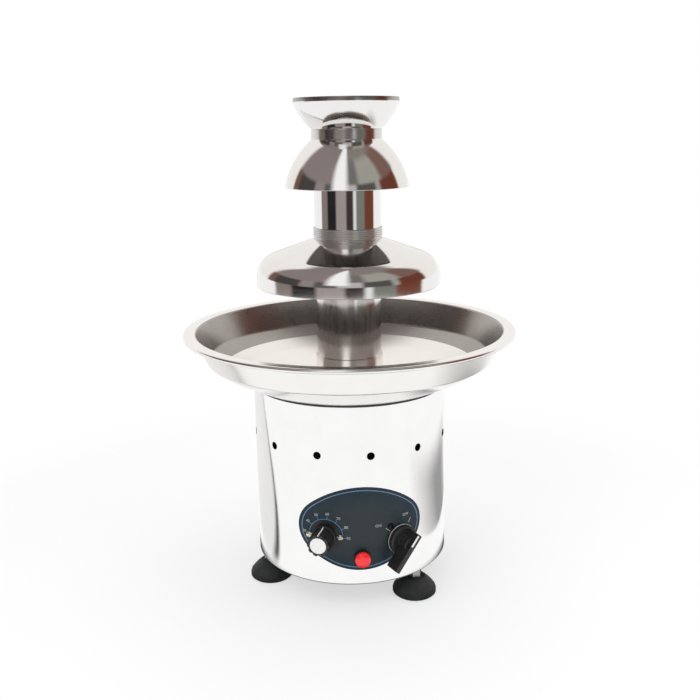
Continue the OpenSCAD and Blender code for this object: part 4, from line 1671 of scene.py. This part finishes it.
@dataclass
class MotorSwitch:
    """Rotary switch knob with a bar grip that overhangs its disc to one side."""

    at: Control = SWITCH
    back: float = 77.4
    length: float = 16.5
    disc: float = 23.0
    disc_t: float = 5.0
    hub: float = 11.0
    grip: float = 32.0
    grip_w: float = 4.4
    grip_shift: float = 6.2
    turn: float = 51.5
    bore: float = 6.02

    def build(self) -> None:
        """Builds and dresses the switch."""
        self.knob()
        self.ring()
        self.mark()
        coat(PLATED, "switch_spindle")

    def knob(self) -> None:
        """Bevels the grip and welds it to the turned disc and boss."""
        back, front = self.back, self.back + self.length
        half, side = self.grip / 2, self.grip_w / 2
        tail, tip = -self.grip_shift - half, half - self.grip_shift
        outline = rounded([(tip, -side, 0.6), (tip, side, 0.6), (tail, side, 0.6), (tail, -side, 0.6)], 3)
        grip = Bench.plate("knob_switch", outline, back + self.disc_t - 1, front)
        Bench.soften(grip, 0.4, 3, 50)
        Bench.shift(grip, turn=self.turn)
        r, hub, step = self.disc / 2, self.hub / 2, back + self.disc_t
        disc = Bench.lathe("disc", rounded([
            (0, back, 0), (r, back, 0.3), (r, step - 0.4, 0.9), (r - 1.6, step, 0.6), (hub, step, 0.5),
            (hub - 0.3, front - 3.5, 0.5), (hub - 1.0, front - 3, 0.3), (0, front - 3, 0),
        ]), 96, closed=False)
        Bench.meet(grip, disc, Meet.WELD)
        Bench.meet(grip, Bench.bar("bore", self.bore, back - 1, front - 6, 32), Meet.CUT)
        Bench.face_out(grip, self.at.azimuth, self.at.height)
        Bench.smooth(grip)
        dress(grip, KNOB_BLACK, "motor_switch", "black_plastic", "switch_knob")

    def ring(self) -> None:
        """Spins the pale ring round the disc's foot, a painted highlight of the disc's rim."""
        r, low = self.disc / 2, self.back + 0.35
        top = low + 0.6
        corners = [(r - 0.4, low, 0), (r + 0.25, low, 0.12), (r + 0.25, top, 0.12), (r - 0.4, top, 0)]
        Turned("knob_switch_rim_highlight", corners, 96, at=self.at).make(INK_PALE, "motor_switch", "white_plastic")

    def mark(self) -> None:
        """Inlays the white mark near the grip's pointing end."""
        front = self.back + self.length
        tip = self.grip / 2 - self.grip_shift
        low, high = (tip - 10.4, 0.15, front - 0.4), (tip - 0.9, 1.75, front + 0.06)
        mark = Bench.block("knob_switch_mark", low, high)
        Bench.soften(mark, 0.12, 2)
        Bench.shift(mark, turn=self.turn)
        Bench.face_out(mark, self.at.azimuth, self.at.height)
        dress(mark, CAP_WHITE, "motor_switch", "white_plastic")


@dataclass
class Feet:
    """Three levelling feet: rubber pads on hexagon studs."""

    circle: float = 68.5
    phase: float = 39.5
    pad: float = 34.0
    pad_h: float = 14.0
    neck: float = 8.4
    stud: float = 5.98
    hexagon: float = 10.0
    hex_low: float = 14.02
    hex_top: float = 20.96
    stud_low: float = 7.02
    stud_top: float = 35.2

    def build(self) -> None:
        """Builds one foot, copies it and dresses the three."""
        pad, stud = self.rubber(), self.bolt()
        for i, letter in enumerate("abc"):
            last = letter == "c"
            one = pad if last else Bench.copy(pad, "pad")
            bolt = stud if last else Bench.copy(stud, "bolt")
            one.name, bolt.name = f"pad_{letter}", f"bolt_{letter}"
            turn = math.radians(self.phase + 120 * i)
            x, y = self.circle * math.sin(turn), -self.circle * math.cos(turn)
            for piece in (one, bolt):
                Bench.shift(piece, x, y, turn=math.degrees(turn))
                Bench.smooth(piece)
            dress(one, RUBBER, f"foot_{letter}", "black_rubber", f"foot_pad_{letter}")
            dress(bolt, PLATED, f"foot_{letter}", "plain_steel", f"foot_stud_{letter}")

    def rubber(self) -> Piece:
        """Spins a pad with a grooved foot.

        Returns:
            The pad, at the axis.
        """
        r, side, bend = self.pad / 2, self.pad_h * 0.35, self.pad * 1.1
        centre, low, high = arc_between((r, side), (self.neck, self.pad_h), bend, 0)
        bulge = arc(centre, bend, low, high, 14)
        bulge[-1] = (*bulge[-1][:2], 0.5)
        corners = [(0, 0.6, 0), (r - 6, 0.6, 0), (r - 5.2, 0, 0.2), (r - 1.6, 0, 0.5), (r, 1.4, 0.6),
                   (r, side - 0.7, 0.3), (r - 0.45, side - 0.4, 0.15), *bulge[1:],
                   (self.stud / 2 + 0.01, self.pad_h, 0.2), (self.stud / 2 + 0.01, self.pad_h / 2, 0),
                   (0, self.pad_h / 2, 0)]
        return Bench.lathe("pad", rounded(corners), 96, closed=False)

    def bolt(self) -> Piece:
        """Chamfers a hexagon and welds its stud.

        Returns:
            The bolt, at the axis.
        """
        across = self.hexagon / math.cos(math.pi / 6)
        bolt = Bench.bar("bolt", across, self.hex_low, self.hex_top, 6)
        cone = Bench.lathe("cone", rounded([
            (0, self.hex_low, 0), (self.hexagon / 2, self.hex_low, 0), (across / 2, self.hex_low + 0.6, 0),
            (across / 2, self.hex_top - 0.6, 0), (self.hexagon / 2, self.hex_top, 0), (0, self.hex_top, 0),
        ]), 72, closed=False)
        Bench.meet(bolt, cone, Meet.KEEP)
        shank = Bench.lathe("shank", rounded([
            (0, self.stud_low, 0), (self.stud / 2, self.stud_low, 0.4), (self.stud / 2, self.stud_top, 0.6),
            (0, self.stud_top, 0),
        ]), 48, closed=False)
        Bench.meet(bolt, shank, Meet.WELD)
        return bolt


@dataclass
class Works:
    """Heater, gear motor and the other parts inside the base."""

    def build(self) -> None:
        """Dresses the CAD nodes that stay."""
        coat(SHEATH, "heater_ring")
        coat(CREAM, "thermal_cutout", "thermostat_body", "terminal_block", "shaft_bush")
        coat(PLATED, "bush_nut", "bracket_posts", "motor_screws", "tie_rods", "tie_rod_nuts", "lamp_nut",
             "foot_nuts", "output_shaft", "drive_pin", "motor_bracket")
        coat(PAINT, "motor_can")
        coat(ALLOY, "gearbox_housing")
        coat(KNOB_BLACK, "switch_body", "lamp_body")


WHITE: Colour = (1.0, 1.0, 1.0)
CREAM_WALL: Colour = (0.94, 0.92, 0.895)
HAZE: Colour = (0.70, 0.69, 0.68)
LOW_BANDS: Bands = (
    (-180, HAZE), (-171, WHITE), (-107, (0.24, 0.20, 0.18)), (-79, (0.020, 0.018, 0.020)),
    (-46, (0.36, 0.31, 0.30)), (-10, (0.050, 0.038, 0.036)), (14, (0.80, 0.82, 0.83)),
    (24, (0.20, 0.21, 0.18)), (55, (0.17, 0.055, 0.032)), (96, WHITE), (163, HAZE),
)
MIDDLE_BANDS: Bands = (
    (-180, CREAM_WALL), (-124, (0.17, 0.10, 0.08)), (-109, (0.060, 0.056, 0.054)),
    (-69, (0.28, 0.25, 0.245)), (-49, (0.10, 0.10, 0.095)), (-20, (0.50, 0.48, 0.47)),
    (12, (0.09, 0.085, 0.08)), (50, (0.36, 0.36, 0.34)), (60, (0.15, 0.045, 0.03)), (104, CREAM_WALL),
)
HIGH_BANDS: Bands = (
    (-180, CREAM_WALL), (-122, (0.26, 0.215, 0.21)), (-6, (0.17, 0.165, 0.155)), (16, (0.36, 0.355, 0.315)),
    (66, (0.20, 0.12, 0.10)), (108, CREAM_WALL),
)
WINDOW: Bands = ((-180, (0.0, 0.0, 0.0)), (-34, WHITE), (-6, (0.0, 0.0, 0.0)))
# Painted reflections on the floor, seen by glossy rays alone: bands of table edges that the shell mirrors.
REFLECTED_TABLE_RIGHT: Bands = (
    (58, WHITE), (80, (0.66, 0.65, 0.645)), (101, (0.34, 0.335, 0.33)), (118, (0.34, 0.335, 0.33)),
    (128, (0.60, 0.595, 0.59)), (134, WHITE),
)
REFLECTED_TABLE_LEFT: Bands = (
    (0.490, WHITE), (0.498, (0.09, 0.09, 0.09)), (0.504, (0.09, 0.09, 0.09)), (0.520, (0.82, 0.81, 0.81)),
    (0.75, (0.88, 0.87, 0.87)),
)
CEILING: Colour = (0.24, 0.21, 0.20)


@dataclass
class Studio:
    """White floor, soft light, the room that the steel mirrors, and the camera."""

    azimuth: float = -5.5
    distance: float = 686.5
    height: float = 358.2
    pitch: float = 12.72
    roll: float = -0.80
    lens: float = 45.65
    shift: Point = (0.0011, -0.0324)
    table: float = 1200.0

    def build(self) -> None:
        """Builds the studio."""
        bpy.context.scene.view_settings.view_transform = "Standard"
        self.camera()
        self.floor()
        self.world()
        self.lamp("key_light", (-0.75, -0.85, 1.25), 0.9, 7.0)
        self.lamp("fill_light", (0.95, -0.55, 0.9), 1.0, 4.0)
        self.lamp("top_light", (0.1, 0.25, 1.5), 1.2, 6.0)

    def camera(self) -> None:
        """Places the camera where the photograph was taken from."""
        bpy.ops.object.camera_add()
        camera = bpy.context.object
        camera.name = "camera"
        camera.data.sensor_width = 36.0
        camera.data.lens = self.lens
        camera.data.shift_x, camera.data.shift_y = self.shift
        camera.data.clip_start = 0.01
        camera.data.dof.use_dof = False
        turn = math.radians(self.azimuth)
        away = self.distance * MM
        place = Matrix.Translation((away * math.sin(turn), -away * math.cos(turn), self.height * MM))
        aim = Matrix.Rotation(turn, 4, "Z") @ Matrix.Rotation(math.radians(90 - self.pitch), 4, "X")
        camera.matrix_world = place @ aim @ Matrix.Rotation(math.radians(self.roll), 4, "Z")
        bpy.context.scene.camera = camera

    def floor(self) -> None:
        """Lays the round white floor, which glows white beyond the object's shadow. To glossy rays it shows a
        painted reflection of table edges and a painted shadow under the bowl.
        """
        Bench.clear()
        bpy.ops.mesh.primitive_circle_add(
            vertices=128, radius=self.table * MM, fill_type="NGON", location=(0, 0, -0.0002)
        )
        floor = bpy.context.object
        floor.name = "floor"
        Bench.settle(floor)
        recipe = Recipe("floor_white")
        x, y, _ = recipe.split(recipe.place)
        out = recipe.length(x, y)
        path = recipe.node("ShaderNodeLightPath").outputs
        seen = recipe.math("MAXIMUM", path["Is Camera Ray"], path["Is Transmission Ray"])
        far = recipe.math("MAXIMUM", recipe.fade(out, 0.22, 0.5), 0.62)
        share = recipe.math("MAXIMUM", recipe.math("MULTIPLY", far, seen), path["Is Glossy Ray"])
        table = self.table_edges(recipe, x, y)
        # Painted shadow under the bowl: within about 0.1 m of the axis the floor turns dark grey for glossy
        # rays.
        table = recipe.mix(recipe.fade(out, 0.098, 0.116), (0.10, 0.10, 0.10), table)
        glow = recipe.node("ShaderNodeEmission")
        recipe.link(recipe.mix(path["Is Glossy Ray"], WHITE, table), glow.inputs["Color"])
        mix = recipe.node("ShaderNodeMixShader")
        recipe.link(share, mix.inputs["Fac"])
        recipe.fix(Base_Color=(0.93, 0.93, 0.93, 1.0), Roughness=0.9, Specular_IOR_Level=0.0)
        recipe.link(recipe.shader.outputs["BSDF"], mix.inputs[1])
        recipe.link(glow.outputs["Emission"], mix.inputs[2])
        recipe.link(mix.outputs["Shader"], recipe.tree.nodes["Material Output"].inputs["Surface"])
        floor.data.materials.append(recipe.material)

    @staticmethod
    def table_edges(recipe: Recipe, x: Socket, y: Socket) -> Socket:
        """Adds the painted reflection of the white table top's edges, which the shell's sides mirror.

        Args:
            recipe: The floor's material.
            x: Place to the right of the object.
            y: Place behind it.

        Returns:
            The painted reflection's colour.
        """
        half_turns = recipe.math("DIVIDE", recipe.bearing(x, y), math.pi)
        right = recipe.ramp(half_turns, [(angle / 180, tone) for angle, tone in REFLECTED_TABLE_RIGHT])
        right = recipe.mix(recipe.fade(x, 0.149, 0.155), WHITE, right)
        right = recipe.mix(recipe.fade(x, 0.26, 0.40), right, WHITE)
        bend = recipe.math("MULTIPLY", recipe.math("POWER", recipe.math("ABSOLUTE", x), 3.0), -3.5)
        left = recipe.ramp(recipe.math("ADD", recipe.math("ADD", y, bend), 0.527), REFLECTED_TABLE_LEFT)
        return recipe.mix(recipe.fade(recipe.math("MULTIPLY", x, -1.0), 0.10, 0.13), right, left)

    def world(self) -> None:
        """Makes the white surroundings, with the darker room in front that only steel and gloss show."""
        world = bpy.data.worlds.new("studio")
        bpy.context.scene.world = world
        world.use_nodes = True
        graph = Graph(world.node_tree)
        way = graph.node("ShaderNodeTexCoord").outputs["Generated"]
        x, y, height = graph.split(way)
        share = graph.math("ADD", graph.math("DIVIDE", graph.bearing(x, y), math.tau), 0.5)
        low, middle, high, window = (
            graph.ramp(share, self.stops(bands, soft))
            for bands, soft in ((LOW_BANDS, 3.0), (MIDDLE_BANDS, 3.0), (HIGH_BANDS, 5.0), (WINDOW, 5.0))
        )
        room = graph.mix(graph.fade(height, 0.0, 0.07), low, middle)
        room = graph.mix(graph.fade(height, 0.40, 0.48), room, high)
        room = graph.mix(graph.fade(height, 0.82, 0.93), room, CEILING)
        room = graph.mix(graph.math("MULTIPLY", window, graph.fade(height, 0.15, 0.28)), room, WHITE)
        path = graph.node("ShaderNodeLightPath").outputs
        lit = graph.mix(path["Is Glossy Ray"], (0.62, 0.62, 0.62), room)
        for ray in ("Is Camera Ray", "Is Transmission Ray"):
            lit = graph.mix(path[ray], lit, WHITE)
        graph.link(lit, world.node_tree.nodes["Background"].inputs["Color"])

    @staticmethod
    def stops(bands: Bands, soft: float) -> Bands:
        """Stops of a ramp over the full turn that shows upright bands of colour.

        Args:
            bands: Start angle and colour of each band.
            soft: Half width of the blend between two bands, in degrees.

        Returns:
            The stops.
        """
        stops = [(0.0, bands[0][1])]
        for (_, before), (start, after) in zip(bands, bands[1:]):
            stops += [((start - soft + 180) / 360, before), ((start + soft + 180) / 360, after)]
        return [*stops, (1.0, bands[-1][1])]

    def lamp(self, name: str, place: Corner, size: float, power: float) -> None:
        """Hangs a soft square light that faces the object.

        Args:
            name: Name of the light.
            place: Its place in metres.
            size: Its side in metres.
            power: Its power in watts.
        """
        Bench.clear()
        bpy.ops.object.light_add(type="AREA", location=place)
        light = bpy.context.object
        light.name = name
        light.data.shape = "SQUARE"
        light.data.size = size
        light.data.energy = power
        light.visible_glossy = False
        aim = Vector((0, 0, 0.15)) - light.location
        light.rotation_euler = aim.to_track_quat("-Z", "Y").to_euler()


def main() -> None:
    """Builds the studio and the fountain's sub-assemblies in order."""
    logging.basicConfig(level=logging.INFO, format="%(message)s")
    Studio().build()
    fountain = (
        Base(), Bowl(), Tower(), Auger(), ControlPanel(), HeatDial(), MotorSwitch(), Feet(), Works()
    )
    for assembly in fountain:
        LOG.info("building %s", type(assembly).__name__)
        assembly.build()


if __name__ == "__main__":
    main()
